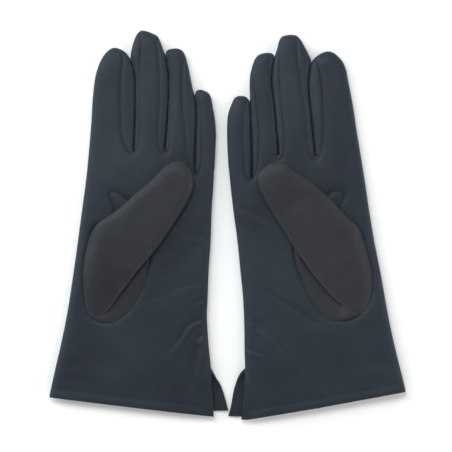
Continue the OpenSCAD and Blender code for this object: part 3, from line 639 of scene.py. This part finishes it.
def satin(name, dark, light):
    """A closely woven lining: fine warp over weft, with slubs."""
    t = Nodes(name)
    warp = t.texture("Wave", Scale=900.0, Distortion=0.6, bands_direction="X")
    weft = t.texture("Wave", Scale=620.0, Distortion=0.6, bands_direction="Y")
    slub = t.texture("Noise", Scale=90.0, Detail=5.0)
    weave = t.maths("MULTIPLY", (warp, "Fac"), (weft, "Fac"))
    colour = t.mixed(t.blend_of(weave, 0.5, (slub, "Fac"), 0.5), dark, light)
    rough = t.maths("ADD", t.maths("MULTIPLY", (slub, "Fac"), 0.2), 0.42)
    return t.finish(Base_Color=colour, Roughness=rough, Normal=t.relief(weave, 0.5, 0.00012),
                    Sheen_Weight=0.3)


def sewing(name, dark, light):
    """Twisted sewing thread."""
    t = Nodes(name)
    ply = t.texture("Wave", Scale=1400.0, Distortion=1.5, bands_direction="DIAGONAL")
    fuzz = t.texture("Noise", Scale=2600.0, Detail=3.0)
    tone = t.blend_of((ply, "Fac"), 0.6, (fuzz, "Fac"), 0.4)
    rough = t.maths("ADD", t.maths("MULTIPLY", (fuzz, "Fac"), 0.2), 0.45)
    return t.finish(Base_Color=t.mixed(tone, dark, light), Roughness=rough,
                    Normal=t.relief(tone, 0.6, 0.00008), Sheen_Weight=0.2)


def floor_paint(name, dark, light):
    """Matt and nearly white."""
    t = Nodes(name)
    grain = t.texture("Noise", Scale=60.0, Detail=3.0)
    return t.finish(Base_Color=t.mixed((grain, "Fac"), dark, light), Roughness=0.9, Specular_IOR_Level=0.1)


NAPPA = leather("navy_black_nappa", (0.0114, 0.0158, 0.0229), (0.0190, 0.0262, 0.0362), 0.52)
# the same leather tinted greyer and warmer for the thumb: painted light, standing in for the thumb catching
# less of the cool light than the rest
THUMB_NAPPA_PAINTED_WARM_LIGHT = leather("navy_black_nappa_thumb_painted_warm_light", (0.0150, 0.0166, 0.0196), (0.0246, 0.0270, 0.0310), 0.52)
LINING = satin("black_lining", (0.012, 0.013, 0.015), (0.040, 0.042, 0.048))
THREAD = sewing("navy_thread", (0.009, 0.011, 0.015), (0.024, 0.028, 0.036))
FLOOR = floor_paint("pale_floor", (0.90, 0.90, 0.90), (0.93, 0.93, 0.93))


# ---------------------------------------------------------------- one glove
HINGE_RUN = 12.0              # how far beyond its hinge line a finger is still turning
THUMB_HINGE_RUN = 14.0
LEAD = 130.0                  # how far to the index side a hinge line starts
HINGE_STEP = 1.4              # spacing of the points on a hinge line
FINGERS = ("index", "middle", "ring", "little")
BODIES = ("hand",) + FINGERS
OUTLINE_ROWS = (0.22, 0.85, 1.9)
SEAM_ROWS = (0.3, 0.85)       # distances from an outline or a seam at which rows of points follow it
SEAM_DEPTH = 0.7
WEAR_AND_HIGHLIGHT_FADE = 2.6               # how fast the rub wear and the painted highlight fade away from a rolled edge
EDGE_ROUND = 1.0              # radius of the free edges at the cuff and the vent
SLIT_FROM = 30                # y above which neighbouring fingers face each other
HEM_UP = 6                    # how far inside the cuff's edge the hem is sewn
PALM_LEVEL = HAND_TOP - 0.25  # the palm leather's general level, with room above for its swells
FOOT = 0.55                   # the back leather's lowest level, with room below for its sewn points
# the lines of the three points sewn on the back; the thumb's soft dents, given as a glove's folds are
POINTS = [[(-80, 38), (-76, -22)], [(-57, 38), (-57, -28)], [(-34, 38), (-38, -22)]]
THUMB_FOLDS = [([(-96, -26), (-82, -36), (-66, -42)], 5.0, -0.2),
               ([(-60, -16), (-74, -8), (-86, -8)], 5.5, 0.18),
               ([(-46, 14), (-56, 22), (-60, 26)], 4.5, -0.15)]
# radius of the thumb's rolled edge on its left and on its right, at distances along it
THUMB_RADII = (([-5, 6, 40, 50, 58, 95, 121], [4, 8, 10, 8, 6, 6, 8]),
               ([-5, 6, 40, 95, 121], [2.0, 3.0, 4.5, 5.5, 8]))
# how deep under the outer surface the inner layers start, and their thickness
FACING_INSET, FACING_THICKNESS = 0.84, 0.6
LINING_INSET, LINING_THICKNESS = 1.35, 0.35
THUMB_LINING_INSET = 1.3
LINING_GRID = 3.4
# distance from one stitch to the next
SEAM_PITCH, HEM_PITCH, POINTS_PITCH, SIDE_PITCH = 2.1, 2.6, 2.4, 2.3


def close_slits(table, gap=0.34, facing=1.3):
    """Brings facing points of neighbouring fingers to an even small gap."""
    t = np.array(table, float)
    for i in range(len(t)):
        for j in range(i + 1, len(t)):
            if t[i, 1] == t[j, 1] and abs(t[i, 0] - t[j, 0]) < facing and t[i, 1] > SLIT_FROM:
                middle = (t[i, 0] + t[j, 0]) / 2
                t[i, 0], t[j, 0] = middle - gap / 2, middle + gap / 2
    return t


def thumb_xy(table):
    """Plan points from (along, across) the thumb; thumb_sa is the way back."""
    sa = np.array(table, float)
    return THUMB_ORIGIN + sa[:, :1] * THUMB_ALONG + sa[:, 1:2] * THUMB_ACROSS


def thumb_sa(points):
    d = np.asarray(points)[:, :2] - THUMB_ORIGIN
    return d @ THUMB_ALONG, d @ THUMB_ACROSS


class Glove:
    """One glove's lines, the heights of its layers, and the pieces made from them."""

    def __init__(self, side):
        self.side = side
        self.g = g = GLOVES[side]
        self.sheets = (("palm", self.palm_z, 1.0), ("back", self.back_z, -1.0))
        self.seams = {"palm": [smooth(s) for s in g["seams"]]}
        raw_edge = smooth(close_slits(g["edge"]))
        self.seams["back"] = [self.pulled(s, raw_edge) for s in self.seams["palm"]]
        high, low = g["hinge"]
        wall = g["wall_x"]
        self.hinges = [even([(-LEAD, high), (wall, high)], HINGE_STEP),
                       even([(wall, low), (8.0, low)], HINGE_STEP)]
        self.hem = {layer: self.hem_lines(g[layer + "_end"], g[layer + "_cuff"], width)
                    for layer, width in (("palm", 5.5), ("back", 15.0))}
        self.edge = with_crossings(raw_edge, self.seams["palm"] + self.seams["back"] + self.hinges
                                   + [hem["line"] for hem in self.hem.values()])
        self.hole = smooth(g["hole"])
        across = [tuple(p) for p in thumb_xy(g["closing"])] if g["closing"] else []
        self.hole_ring = np.vstack([self.hole, even([g["hole"][-1]] + across + [g["hole"][0]], 1.5)[1:]])
        self.quirk = smooth(g["quirk"])
        self.quirk_ring = np.vstack([self.quirk, self.quirk[:1]])
        d = np.linalg.norm(self.edge[:, :2] - g["side_seam_from"], axis=1)
        self.side_from = int(np.argmin(np.where(self.edge[:, 0] > wall, d, 1e9)))
        self.points = [even(p, 1.2) for p in POINTS]
        self.make_thumb()

    @staticmethod
    def hem_lines(end, cuff, width):
        """The vent's end, the cuff's edge, and the hem's line: width inside the first, HEM_UP the second."""
        end, cuff = smooth(end, 1.2), even(cuff, 1.5)
        apex, corner = end[0], end[-1]
        down = end[(end[:, 1] < apex[1] - 4) & (end[:, 1] > corner[1] + HEM_UP + 0.5)] - (width, 0)
        across = even([(x, np.interp(x, cuff[::-1, 0], cuff[::-1, 1]) + HEM_UP)
                       for x in np.arange(down[-1, 0], -127, -3.0)], 1.5)
        start = np.array([[apex[0] - 0.7, apex[1] - 1.0], [apex[0] - 0.55 * width, apex[1] - 2.6]])
        line = np.vstack([start, down, across])
        return dict(end=end, cuff=cuff, line=line, across=across, apex=apex, corner=corner,
                    free=np.vstack([end, cuff[1:]]), band=np.vstack([line, cuff[::-1], end[::-1]]))

    def outline(self, edge, which):
        hem = self.hem[which]
        return np.vstack([edge[:, :2], hem["end"][1:], hem["cuff"][1:-1]])

    @staticmethod
    def pulled(line, edge):
        """The back seams: the fourchettes show only half as wide there."""
        out = []
        for p in line:
            q = edge[np.argmin(np.linalg.norm(edge[:, :2] - p[:2], axis=1)), :2]
            out.append(q + (p[:2] - q) * 0.6)
        out = np.array(out)
        for _ in range(3):
            out[1:-1] = (out[:-2] + 2 * out[1:-1] + out[2:]) / 4
        return out

    # heights -------------------------------------------------------
    def palm_z(self, p, plain=False):
        """The palm's height, and its rub wear and painted edge highlight, at plan points; plain leaves the
        sewing out, for the lining.
        """
        x = nearest(p, self.edge, self.edge[:, 2])
        hem = self.hem["palm"]
        seams = self.seams["palm"] + [self.hole_ring, self.quirk]
        ds = np.min([nearest(p, l) for l in seams], axis=0)
        top = np.full(len(p), PALM_LEVEL)
        top += 0.30 * clouds(p, 34, 1.7) + 0.16 * clouds(p, 13, 4.1) + folds_at(p, self.g["folds"])
        top -= slope(np.linalg.norm(p - hem["corner"], axis=1), 2.2, 24)
        if plain:
            top -= groove(ds, 1, 3.2)
        else:
            top -= slope(ds, 0.25, 5) + groove(ds, SEAM_DEPTH, 0.5) + slope(ds, 0.2, 1.8)
            dh = nearest(p, hem["across"])
            top -= groove(dh, 0.3, 0.8)
            top += np.where(inside(p, hem["band"]), 0.3, 0) * (1 - np.exp(-dh / 1.5))
        f = self.closed_over_vent(p, hem, roll(x), reach=13)
        z = MID + (top - MID) * f
        z -= 0.45 * (1 - roll(nearest(p, hem["free"]) / EDGE_ROUND)) * f
        return z, np.exp(-WEAR_AND_HIGHLIGHT_FADE * x)

    def back_z(self, p, plain=False):
        """The back's height, rub wear and painted edge highlight, as palm_z gives the palm's."""
        x = nearest(p, self.edge, self.edge[:, 2])
        hem = self.hem["back"]
        ds = np.min([nearest(p, l) for l in self.seams["back"]], axis=0)
        low = FOOT + 0.12 * np.abs(clouds(p, 22, 9.3))
        low += groove(np.linalg.norm(p - hem["corner"], axis=1), 1.3, 14)
        if plain:
            low += groove(ds, 1, 3.2)
        else:
            low += groove(ds, SEAM_DEPTH, 0.5) + slope(ds, 0.3, 2.6)
            for line in self.points:
                run = np.clip((p[:, 1] - line[-1, 1]) / (line[0, 1] - line[-1, 1]), 0, 1)
                ends = np.sin(math.pi * np.clip(run, 0.03, 0.97)) ** 0.3
                low -= groove(nearest(p, line), 0.5, 0.75) * ends
            low += groove(nearest(p, hem["across"]), 0.28, 0.75)
        f = self.closed_over_vent(p, hem, roll(x), reach=11)
        z = MID - (MID - low) * f
        z += 0.4 * (1 - roll(nearest(p, hem["free"]) / EDGE_ROUND)) * f
        return z, np.exp(-WEAR_AND_HIGHLIGHT_FADE * x)

    @staticmethod
    def closed_over_vent(p, hem, f, reach, radius=5):
        """The share of the full height: as at the rolled edge, the layers meet over the top of the vent."""
        far = np.linalg.norm(p - hem["apex"], axis=1)
        return np.minimum(f, 1 - (1 - roll(nearest(p, hem["end"]) / radius)) * np.exp(-far / reach))

    # leather -------------------------------------------------------
    def layer(self, which, height):
        """One leather sheet's triangles, and for each the body it rides and the part it belongs to."""
        hem = self.hem[which]
        lines = self.seams[which] + self.hinges + [hem["line"]]
        rows = [SEAM_ROWS] * 3 + [()] * 2 + [(0.55,)]
        if which == "palm":
            creases = [smooth(line) for line, width, _ in self.g["folds"] if width < 3]
            lines += [self.hole_ring, self.quirk_ring] + creases
            rows += [SEAM_ROWS] * 2 + [(0.7,)] * len(creases)
        else:
            lines += self.points
            rows += [(0.45, 1.0)] * 3
        hole = self.hole_ring if which == "palm" else None
        v, f = triangulate(self.outline(self.edge, which), OUTLINE_ROWS, lines, rows, hole)
        z, wear_and_highlight = height(v)
        mid = v[f].mean(1)
        body = split_fingers(v, f, self.g)
        part = np.array(["trank"] * len(f), dtype=object)
        for seam in self.seams[which]:
            part[inside(mid, seam)] = "fourchette"
        if which == "palm":
            part[inside(mid, self.quirk)] = "quirk"
        hemmed = inside(mid, hem["band"]) & (body == "hand")
        v = self.meet_in_slits(self.nip_side_seam(v))
        return dict(v=np.column_stack([v, z]), f=f[:, ::-1] if which == "back" else f, body=body, part=part,
                    hem=hemmed, wear_and_highlight=wear_and_highlight)

    def nip_side_seam(self, v, nip=0.75, same=2):
        """Draws the sewn side edge in, so it is a seam and not a fold."""
        def key(p):
            return tuple(round(float(c), same) for c in p)

        e = self.edge[self.side_from:, :2]
        inward = -normals(e)
        fade = np.minimum(1, np.minimum(np.arange(len(e)), np.arange(len(e))[::-1]) / 4)
        table = {key(p): k for k, p in enumerate(e)}
        v = v.copy()
        for i, p in enumerate(v):
            k = table.get(key(p))
            if k is not None:
                v[i] = p + inward[k] * nip * fade[k]
        return v

    def meet_in_slits(self, v, left=0.1, widest=0.7, skip=9):
        """Brings the edges of neighbouring fingers together, all but a hairline."""
        e = self.edge[:, :2]
        out = normals(e)
        v = v.copy()
        for k in np.nonzero(e[:, 1] > SLIT_FROM)[0]:
            others = [e[:max(k - skip, 0)], e[k + skip:]]
            gap = min(nearest(e[k][None], o)[0] for o in others if len(o) > 1)
            if gap < widest:
                near = np.abs(v - e[k]).max(1) < 0.01
                v[near] += out[k] * max(0, gap - left) / 2
        return v

    def piece(self, name, parts, material, slot, nodes, ride=None, bend=None, **how):
        """Makes one named piece from (vertices, faces, wear and highlight) parts and says what it is in the
        frame.
        """
        verts, faces = join_parts([(v, f) for v, f, _ in parts])
        wear_and_highlight = np.concatenate([w for _, _, w in parts])
        obj = mesh_piece(f"{self.side}_{name}", verts, faces, self.side, wear_and_highlight=wear_and_highlight, **how)
        obj.data.materials.append(material)
        if bend:
            start, end = [Vector(p) * MM for p in bend[1]]
            if self.side == "right":
                start.x, end.x = -start.x, -end.x
            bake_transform(obj)
        else:
            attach(obj, f"{self.side}_{ride}")
        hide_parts(*[f"{self.side}_{n}" for n in nodes])

    def bending(self, finger):
        """A finger's body, and where its surface starts and ends to turn with it."""
        y = self.g["hinge"][1 if finger == "little" else 0]
        return finger, ((0, y, MID), (0, y + HINGE_RUN, MID))

    def make_leather(self):
        layers = [self.layer(which, height) for which, height, _ in self.sheets]

        def leather_piece(name, nodes, wanted, **how):
            parts = [(l["v"], l["f"][wanted(l)], l["wear_and_highlight"]) for l in layers]
            self.piece(name, parts, NAPPA, "leather", nodes, **how)

        def part_of(body, part):
            return lambda l: (l["body"] == body) & (l["part"] == part)

        leather_piece("trank", ["trank_palm", "trank_back"], part_of("hand", "trank"), ride="hand")
        leather_piece("fourchette_root_webs", ["fourchette_roots"], part_of("hand", "fourchette"),
                      ride="hand")
        leather_piece("quirk", ["thumb_quirk"], part_of("hand", "quirk"), ride="hand")
        leather_piece("cuff_facing", ["cuff_hem"], lambda l: l["hem"], ride="hand",
                      inset=FACING_INSET, thickness=FACING_THICKNESS)
        for f in FINGERS:
            strips = "fourchettes" if f in ("middle", "ring") else "fourchette"
            bend = self.bending(f)
            leather_piece(f"{f}_stall_leather", [f"{f}_stall"], part_of(f, "trank"), bend=bend)
            leather_piece(f"{f}_side_strips", [f"{f}_{strips}"], part_of(f, "fourchette"), bend=bend)

    # lining --------------------------------------------------------
    def make_lining(self):
        coarse = smooth(close_slits(self.g["edge"]), 3.2)
        edge = with_crossings(coarse, self.hinges + [hem["line"] for hem in self.hem.values()])
        made = []
        for which, height, _ in self.sheets:
            hem = self.hem[which]
            v, f = triangulate(self.outline(edge, which), (0.9, 2.4), self.hinges + [hem["line"]], [()] * 3,
                               grid_step=LINING_GRID)
            z, wear_and_highlight = height(v, plain=True)
            body = split_fingers(v, f, self.g, 12)
            body[inside(v[f].mean(1), hem["band"])] = "hem"
            made.append((np.column_stack([v, z]), f[:, ::-1] if which == "back" else f, body, wear_and_highlight))
        for b in BODIES:
            parts = [(v, f[body == b], wear_and_highlight) for v, f, body, wear_and_highlight in made]
            where = dict(ride="hand") if b == "hand" else dict(bend=self.bending(b))
            self.piece(f"{b}_lining_knit", parts, LINING, "lining", [f"{b}_lining"],
                       inset=LINING_INSET, thickness=LINING_THICKNESS, **where)

    # thumb ---------------------------------------------------------
    def make_thumb(self):
        """The thumb's outline: the hole's edge where it is sewn in, then round its free part."""
        left, right = thumb_xy(self.g["thumb_left"]), thumb_xy(self.g["thumb_right"])
        # from its foot on, the right edge stands free of the hole
        foot = int(np.argmin(np.linalg.norm(self.hole - right[0], axis=1)))
        sewn_to = thumb_sa(self.hole[:1])[0][0]
        free = left[np.array(self.g["thumb_left"])[:, 0] > sewn_to + 3]
        upper = np.vstack([self.hole[:1], free, right[::-1]])
        upper[-1] = self.hole[foot]
        outline = np.vstack([self.hole[:foot + 1][::-1], smooth(upper)[1:-1]])
        self.root_line = even(thumb_xy([(THUMB_ROOT, -45), (THUMB_ROOT, 35)]), HINGE_STEP)
        self.thumb_ring = ring = with_crossings(np.vstack([outline, outline[:1]]), [self.root_line])
        tip_at = int(np.argmax(thumb_sa(ring)[0]))
        self.thumb_left, self.thumb_right = ring[:tip_at + 1], ring[tip_at:]
        self.hole_foot = foot

    def thumb_levels(self, p):
        """Edge height, crown height and share of the rise at each plan point of the thumb."""
        s, a = thumb_sa(p)
        rl, rr = [np.interp(s, *radii) for radii in THUMB_RADII]
        xl, xr = nearest(p, self.thumb_left) / rl, nearest(p, self.thumb_right) / rr
        seam = HAND_TOP - 0.7 - SEAM_DEPTH
        crown = seam + 0.25 + (THUMB_TOP - seam - 0.5) * (1 - np.exp(-np.maximum(s + 5, 0) / 30))
        under = np.minimum(THUMB_FOOT + 0.1, crown - 0.7)
        # the left edge is sewn to the palm, then leaves it; the right one grows from flat leather into a fold
        up = ease((s - 44) / 13)
        zl = seam * (1 - up) + THUMB_MID * up
        grow = self.crease_grows(s)
        zr = crown * (1 - grow) + (crown + under) / 2 * grow
        w = (xr * xr + 1e-9) / (xl * xl + xr * xr + 2e-9)       # 1 at the left edge, 0 at the right
        edge = w * zl + (1 - w) * zr
        x = np.minimum(xl, xr)
        soft = np.sin(np.clip(x, 0, 1) * math.pi / 2)
        sewn = w * (1 - up)
        rise = roll(x) * (1 - sewn) + soft * sewn               # round at a free edge, soft at a sewn one
        return s, a, edge, crown, under, rise, x

    def crease_grows(self, s):
        """0 where the thumb's inner edge is flat leather, 1 where it is a full fold."""
        return ease((s - self.g["crease_from"]) / 9)

    def thumb_top(self, p):
        """Height, and rub wear with painted edge highlight, of the thumb's outer side; thumb_under gives
        those of the side on the palm.
        """
        s, a, edge, crown, under, rise, x = self.thumb_levels(p)
        crown = crown + 0.28 * clouds(p, 26, 12.5) + 0.12 * clouds(p, 9, 3.3)
        crown = crown + folds_at(p, THUMB_FOLDS) * ease(s / 20)
        return edge + (crown - edge) * rise, np.exp(-WEAR_AND_HIGHLIGHT_FADE * x)

    def thumb_under(self, p):
        s, a, edge, crown, under, rise, x = self.thumb_levels(p)
        first = self.closing_s(a)
        start = HAND_TOP - 1.2
        level = start + (under - start) * ease((s - first) / 4)
        return edge + (level - edge) * roll(x), np.exp(-WEAR_AND_HIGHLIGHT_FADE * x)

    def closing_s(self, a):
        """How far along the thumb the hole's open side is closed."""
        s, b = thumb_sa(self.hole_ring[len(self.hole) - 1:])
        return np.minimum(np.interp(a, b[::-1], s[::-1]), THUMB_ROOT - 1.5)

    def make_thumb_pieces(self):
        ring = self.thumb_ring
        v, f = triangulate(ring[:-1], OUTLINE_ROWS, [self.root_line], [()])
        z, wear_and_highlight = self.thumb_top(v)
        top, bottom = np.column_stack([v, z]), np.column_stack([v, self.thumb_under(v)[0]])
        stall = thumb_sa(v[f].mean(1))[0] > THUMB_ROOT
        hinge = thumb_xy([(THUMB_ROOT, 0), (THUMB_ROOT + THUMB_HINGE_RUN, 0)])
        bend = ("thumb", [np.append(p, THUMB_MID) for p in hinge])
        self.piece("thumb_stall_leather", [(top, f[stall], wear_and_highlight), (bottom, f[stall][:, ::-1], wear_and_highlight)],
                   THUMB_NAPPA_PAINTED_WARM_LIGHT, "leather", ["thumb_stall"], bend=bend)
        self.piece("thumb_base_leather", [(top, f[~stall], wear_and_highlight), self.mouth_strip(), self.sliver()],
                   THUMB_NAPPA_PAINTED_WARM_LIGHT, "leather", ["thumb_base"], ride="hand")

        # the lining follows every third point of the outline, and those on the root line
        at_root = np.nonzero(np.abs(thumb_sa(ring)[0] - THUMB_ROOT) < 1e-4)[0]
        coarse = ring[sorted(set(range(0, len(ring) - 1, 3)) | set(int(i) for i in at_root))]
        v, f = triangulate(coarse, (1.0,), [self.root_line], [()], grid_step=LINING_GRID)
        f = f[thumb_sa(v[f].mean(1))[0] > THUMB_ROOT]
        upper = np.column_stack([v, self.thumb_top(v)[0]])
        lower = np.column_stack([v, self.thumb_under(v)[0]])
        wear_and_highlight = np.zeros(len(v))
        self.piece("thumb_lining_knit", [(upper, f, wear_and_highlight), (lower, f[:, ::-1], wear_and_highlight)],
                   LINING, "lining", ["thumb_lining"], bend=bend, inset=THUMB_LINING_INSET,
                   thickness=LINING_THICKNESS)

    def mouth_strip(self):
        """The leather under the stall's mouth, from the palm to the root line."""
        ring = self.thumb_ring
        s, a = thumb_sa(ring)
        on = (s > self.closing_s(a) - 1e-6) & (s < THUMB_ROOT + 1e-4)
        left, right = ring[on & (a < 0)], ring[on & (a >= 0)]
        closing = even([right[-1], left[0]], 1.5)
        v, f = triangulate(np.vstack([left, right, closing[1:-1]]), OUTLINE_ROWS[:2], [], [])
        z, wear_and_highlight = self.thumb_under(v)
        return np.column_stack([v, z]), f[:, ::-1], wear_and_highlight

    def sliver(self):
        """The leather from the thumb's inner fold, in beneath it and out, to the hole's seam beside it."""
        fold = self.thumb_right[::-1]
        fold = fold[thumb_sa(fold)[0] < self.closing_s(np.array([15.0]))[0]]
        if np.linalg.norm(fold[0] - self.thumb_ring[0]) > 1e-3:
            fold = np.vstack([self.thumb_ring[:1], fold])
        s = thumb_sa(fold)[0]
        seam = self.hole[self.hole_foot:]
        run, seam_run = run_along(fold), run_along(seam)
        at = run / run[-1] * seam_run[-1]
        outer = np.column_stack([np.interp(at, seam_run, seam[:, k]) for k in (0, 1)])
        _, _, edge, _, under, _, _ = self.thumb_levels(fold)
        radius = np.interp(s, *THUMB_RADII[1])
        depth = np.minimum(7.0, 0.5 * np.maximum(0.3, nearest(fold, self.thumb_left)))
        seam_z = self.palm_z(outer)[0]
        grow = self.crease_grows(s)
        flat = HAND_TOP - 0.55
        rows = []
        for i, (p, q) in enumerate(zip(fold, outer)):
            gap = np.linalg.norm(q - p)
            level = min(under[i], edge[i])
            lift = edge[i] + (min(flat, edge[i] - 0.5) - edge[i]) * grow[i]
            # in under the fold, out again above the palm, and across the gap with a soft swell
            line = []
            for share in (0, 0.03, 0.12, 0.3, 0.55, 0.85, 0.97):
                off = share * depth[i]
                z = edge[i] + (level - edge[i]) * float(roll(off / radius[i]))
                line.append((*(p - off * THUMB_ACROSS), z))
            line.append((*(p - depth[i] * THUMB_ACROSS), (level + lift) / 2))
            line += [(*(p - share * depth[i] * THUMB_ACROSS), lift) for share in (0.97, 0.7, 0.35)]
            for t in (0, 0.2, 0.4, 0.6, 0.75, 0.86, 0.94, 1):
                to_seam = (1 - t) * gap
                z = lift - (lift - seam_z[i]) * math.exp(-(to_seam / 0.9) ** 2) if t < 1 else seam_z[i]
                swell = 0.35 * math.sin(math.pi * min(1, t * 1.05)) * min(1, gap / 6)
                line.append((*(p + (q - p) * t), z + swell * (t < 1)))
            rows.append(np.array(line))
        verts, n = np.vstack(rows), len(rows[0])
        faces = []
        for i in range(len(rows) - 1):
            for j in range(n - 1):
                faces.append((i * n + j, i * n + j + 1, (i + 1) * n + j + 1, (i + 1) * n + j))
        # the visible part has to face up
        i, j = len(rows) // 2, n - 4
        a, b, c = verts[i * n + j], verts[i * n + j + 1], verts[(i + 1) * n + j + 1]
        if np.cross(b - a, c - b)[2] < 0:
            faces = [t[::-1] for t in faces]
        # rub wear and a painted highlight, strongest at the fold's edge
        return verts, faces, np.tile(np.exp(-np.linspace(0, 6, n)), len(rows))

    # sewing --------------------------------------------------------
    def rungs(self, line, height, up, pitch=SEAM_PITCH, half=0.5, lean=0.3, skip=None, sink=0.12):
        """Stitches along a line: how far each reaches half across it and leans along it, a little sunk."""
        line = even(line, pitch)
        if len(line) < 3:
            return []
        n = normals(line)
        t = np.column_stack([n[:, 1], -n[:, 0]])
        a, b = line - half * n - lean * t, line + half * n + lean * t
        za, zb = height(a)[0] - sink * up, height(b)[0] - sink * up
        ok = np.ones(len(line), bool) if skip is None else ~skip(line)
        return [(np.array([*a[i], za[i]]), np.array([*b[i], zb[i]]), np.array([0, 0, up]))
                for i in np.nonzero(ok)[0]]

    def sew(self, name, rungs, nodes, radius=0.12, **where):
        """One piece of thread from many stitches."""
        v, f = capsules(rungs, radius)
        self.piece(name, [(v, f, np.zeros(len(v)))], THREAD, "thread", nodes,
                   thickness=0, weld=False, angle=80, **where)

    def make_threads(self):
        high, low = self.g["hinge"]
        per = {b: [] for b in BODIES}

        def near_edge(p):
            return (nearest(p, self.edge, self.edge[:, 2]) < 0.42) | ~inside(p, self.edge)

        def under_thumb(p):
            return inside(p, self.thumb_ring) & (nearest(p, self.thumb_ring) > 1.5)

        for which, height, up in self.sheets:
            for k, seam in enumerate(self.seams[which]):
                m = int(np.argmin(seam[:, 1]))
                for branch, finger in ((seam[:m + 1], FINGERS[k]), (seam[m:], FINGERS[k + 1])):
                    y = low if finger == "little" else high
                    above, below = branch[branch[:, 1] > y + 0.6], branch[branch[:, 1] < y - 0.4]
                    if len(above) > 3:
                        per[finger] += self.rungs(above, height, up, skip=near_edge)
                    if len(below) > 2:
                        per["hand"] += self.rungs(below, height, up, skip=near_edge)
        for f in FINGERS:
            self.sew(f"{f}_seam_stitches", per[f], [f"{f}_thread"], bend=self.bending(f))
        side = even(self.edge[self.side_from + 3:-3, :2], SIDE_PITCH)
        for p, m in zip(side, normals(side)):
            d = np.array([m[1], -m[0]])
            lo, hi = p - 0.5 * m - 0.3 * d, p - 0.5 * m + 0.3 * d
            per["hand"].append((np.array([*lo, MID - 1.0]), np.array([*hi, MID + 1.0]), np.array([*m, 0])))
        self.sew("side_seam_stitches", per["hand"], ["side_seam_thread"], ride="hand")
        thumb = self.rungs(self.hole[6:-4], self.hole_z, 1.0, half=0.45, skip=under_thumb)
        thumb += self.rungs(self.quirk, self.palm_z, 1.0, half=0.45, skip=under_thumb)
        self.sew("thumb_seam_stitches", thumb, ["thumb_seam_thread"], ride="hand")
        hem = []
        for which, height, up in self.sheets:
            line = self.hem[which]["across"]
            line = line[line[:, 0] > self.g["edge"][0][0] + 9]
            hem += self.rungs(line, height, up, pitch=HEM_PITCH, half=0.0, lean=0.8)
        self.sew("hem_stitches", hem, ["hem_thread"], radius=0.13, ride="hand")
        ridge = []
        for line in self.points:
            for off in (-0.8, 0.8):
                ridge += self.rungs(line[2:-2] + (off, 0), self.back_z, -1.0,
                                    pitch=POINTS_PITCH, half=0.0, lean=0.75)
        self.sew("points_stitches", ridge, ["points_thread"], radius=0.13, ride="hand")

    def hole_z(self, p):
        """Height beside the hole's seam: the thumb's leather inside it, the palm's outside."""
        z = self.palm_z(p)[0]
        within = inside(p, self.thumb_ring)
        if within.any():
            z[within] = self.thumb_top(p[within])[0]
        return z, None


for side in GLOVES:
    glove = Glove(side)
    glove.make_leather()
    glove.make_thumb_pieces()
    glove.make_lining()
    glove.make_threads()


# ---------------------------------------------------------------- floor, light and camera
bm = bmesh.new()
bmesh.ops.create_grid(bm, x_segments=8, y_segments=8, size=2.0)
mesh = bpy.data.meshes.new("floor")
bm.to_mesh(mesh)
bm.free()
floor = bpy.data.objects.new("floor", mesh)
floor.data.materials.append(FLOOR)
bpy.context.scene.collection.objects.link(floor)

world = bpy.data.worlds.new("studio")
world.use_nodes = True
sky = world.node_tree
place = sky.nodes.new("ShaderNodeTexCoord")
split = sky.nodes.new("ShaderNodeSeparateXYZ")
ramp = sky.nodes.new("ShaderNodeValToRGB")
sky.links.new(place.outputs["Generated"], split.inputs[0])
sky.links.new(split.outputs["Z"], ramp.inputs["Fac"])
sky.links.new(ramp.outputs["Color"], sky.nodes["Background"].inputs["Color"])
sky.nodes["Background"].inputs["Strength"].default_value = 1.5
ramp.color_ramp.elements.new(0.3)
# brightness of the room low down, a little higher, and overhead
for stop, height, level in zip(ramp.color_ramp.elements, (0.0, 0.3, 0.65), (0.25, 1.0, 0.05)):
    stop.position, stop.color = height, (level, level, level, 1)
bpy.context.scene.world = world


def area_light(name, place, aim, size, power, colour):
    data = bpy.data.lights.new(name, "AREA")
    data.shape, data.size, data.size_y = "RECTANGLE", size[0], size[1]
    data.energy, data.color = power, colour
    obj = bpy.data.objects.new(name, data)
    obj.location = place
    obj.rotation_euler = (Vector(aim) - Vector(place)).to_track_quat("-Z", "Y").to_euler()
    bpy.context.scene.collection.objects.link(obj)


for light in (("overhead", (-0.15, 0.5, 1.1), (0, 0, 0), (0.8, 0.5), 9.0, (0.93, 0.98, 1.0)),
              ("window_left", (-1.0, 0.6, 0.7), (0, 0, 0), (0.8, 1.0), 8.5, (0.93, 0.98, 1.0)),
              ("room_right", (1.1, -0.1, 0.9), (0, 0, 0), (0.8, 1.2), 4.5, (1.0, 0.98, 0.95)),
              ("room_front", (0.0, -1.1, 0.8), (0, -0.1, 0), (1.2, 0.6), 4.5, (1.0, 0.96, 0.90))):
    area_light(*light)

SHOT_HEIGHT = 1.5             # metres from the gloves' middle height to the camera
FRAME_WIDTH = 0.3164          # what the photograph's width covers at that height
FRAME_CENTRE = (-0.0009, -0.0007)
SENSOR = 36
lens = bpy.data.cameras.new("camera")
lens.sensor_width = SENSOR
lens.lens = SENSOR * SHOT_HEIGHT / FRAME_WIDTH
lens.clip_start, lens.clip_end = 0.05, 20
camera = bpy.data.objects.new("camera", lens)
camera.location = (*FRAME_CENTRE, MID * MM + SHOT_HEIGHT)
bpy.context.scene.collection.objects.link(camera)
bpy.context.scene.camera = camera
bpy.context.scene.view_settings.view_transform = "Standard"
bpy.context.scene.view_settings.look = "None"
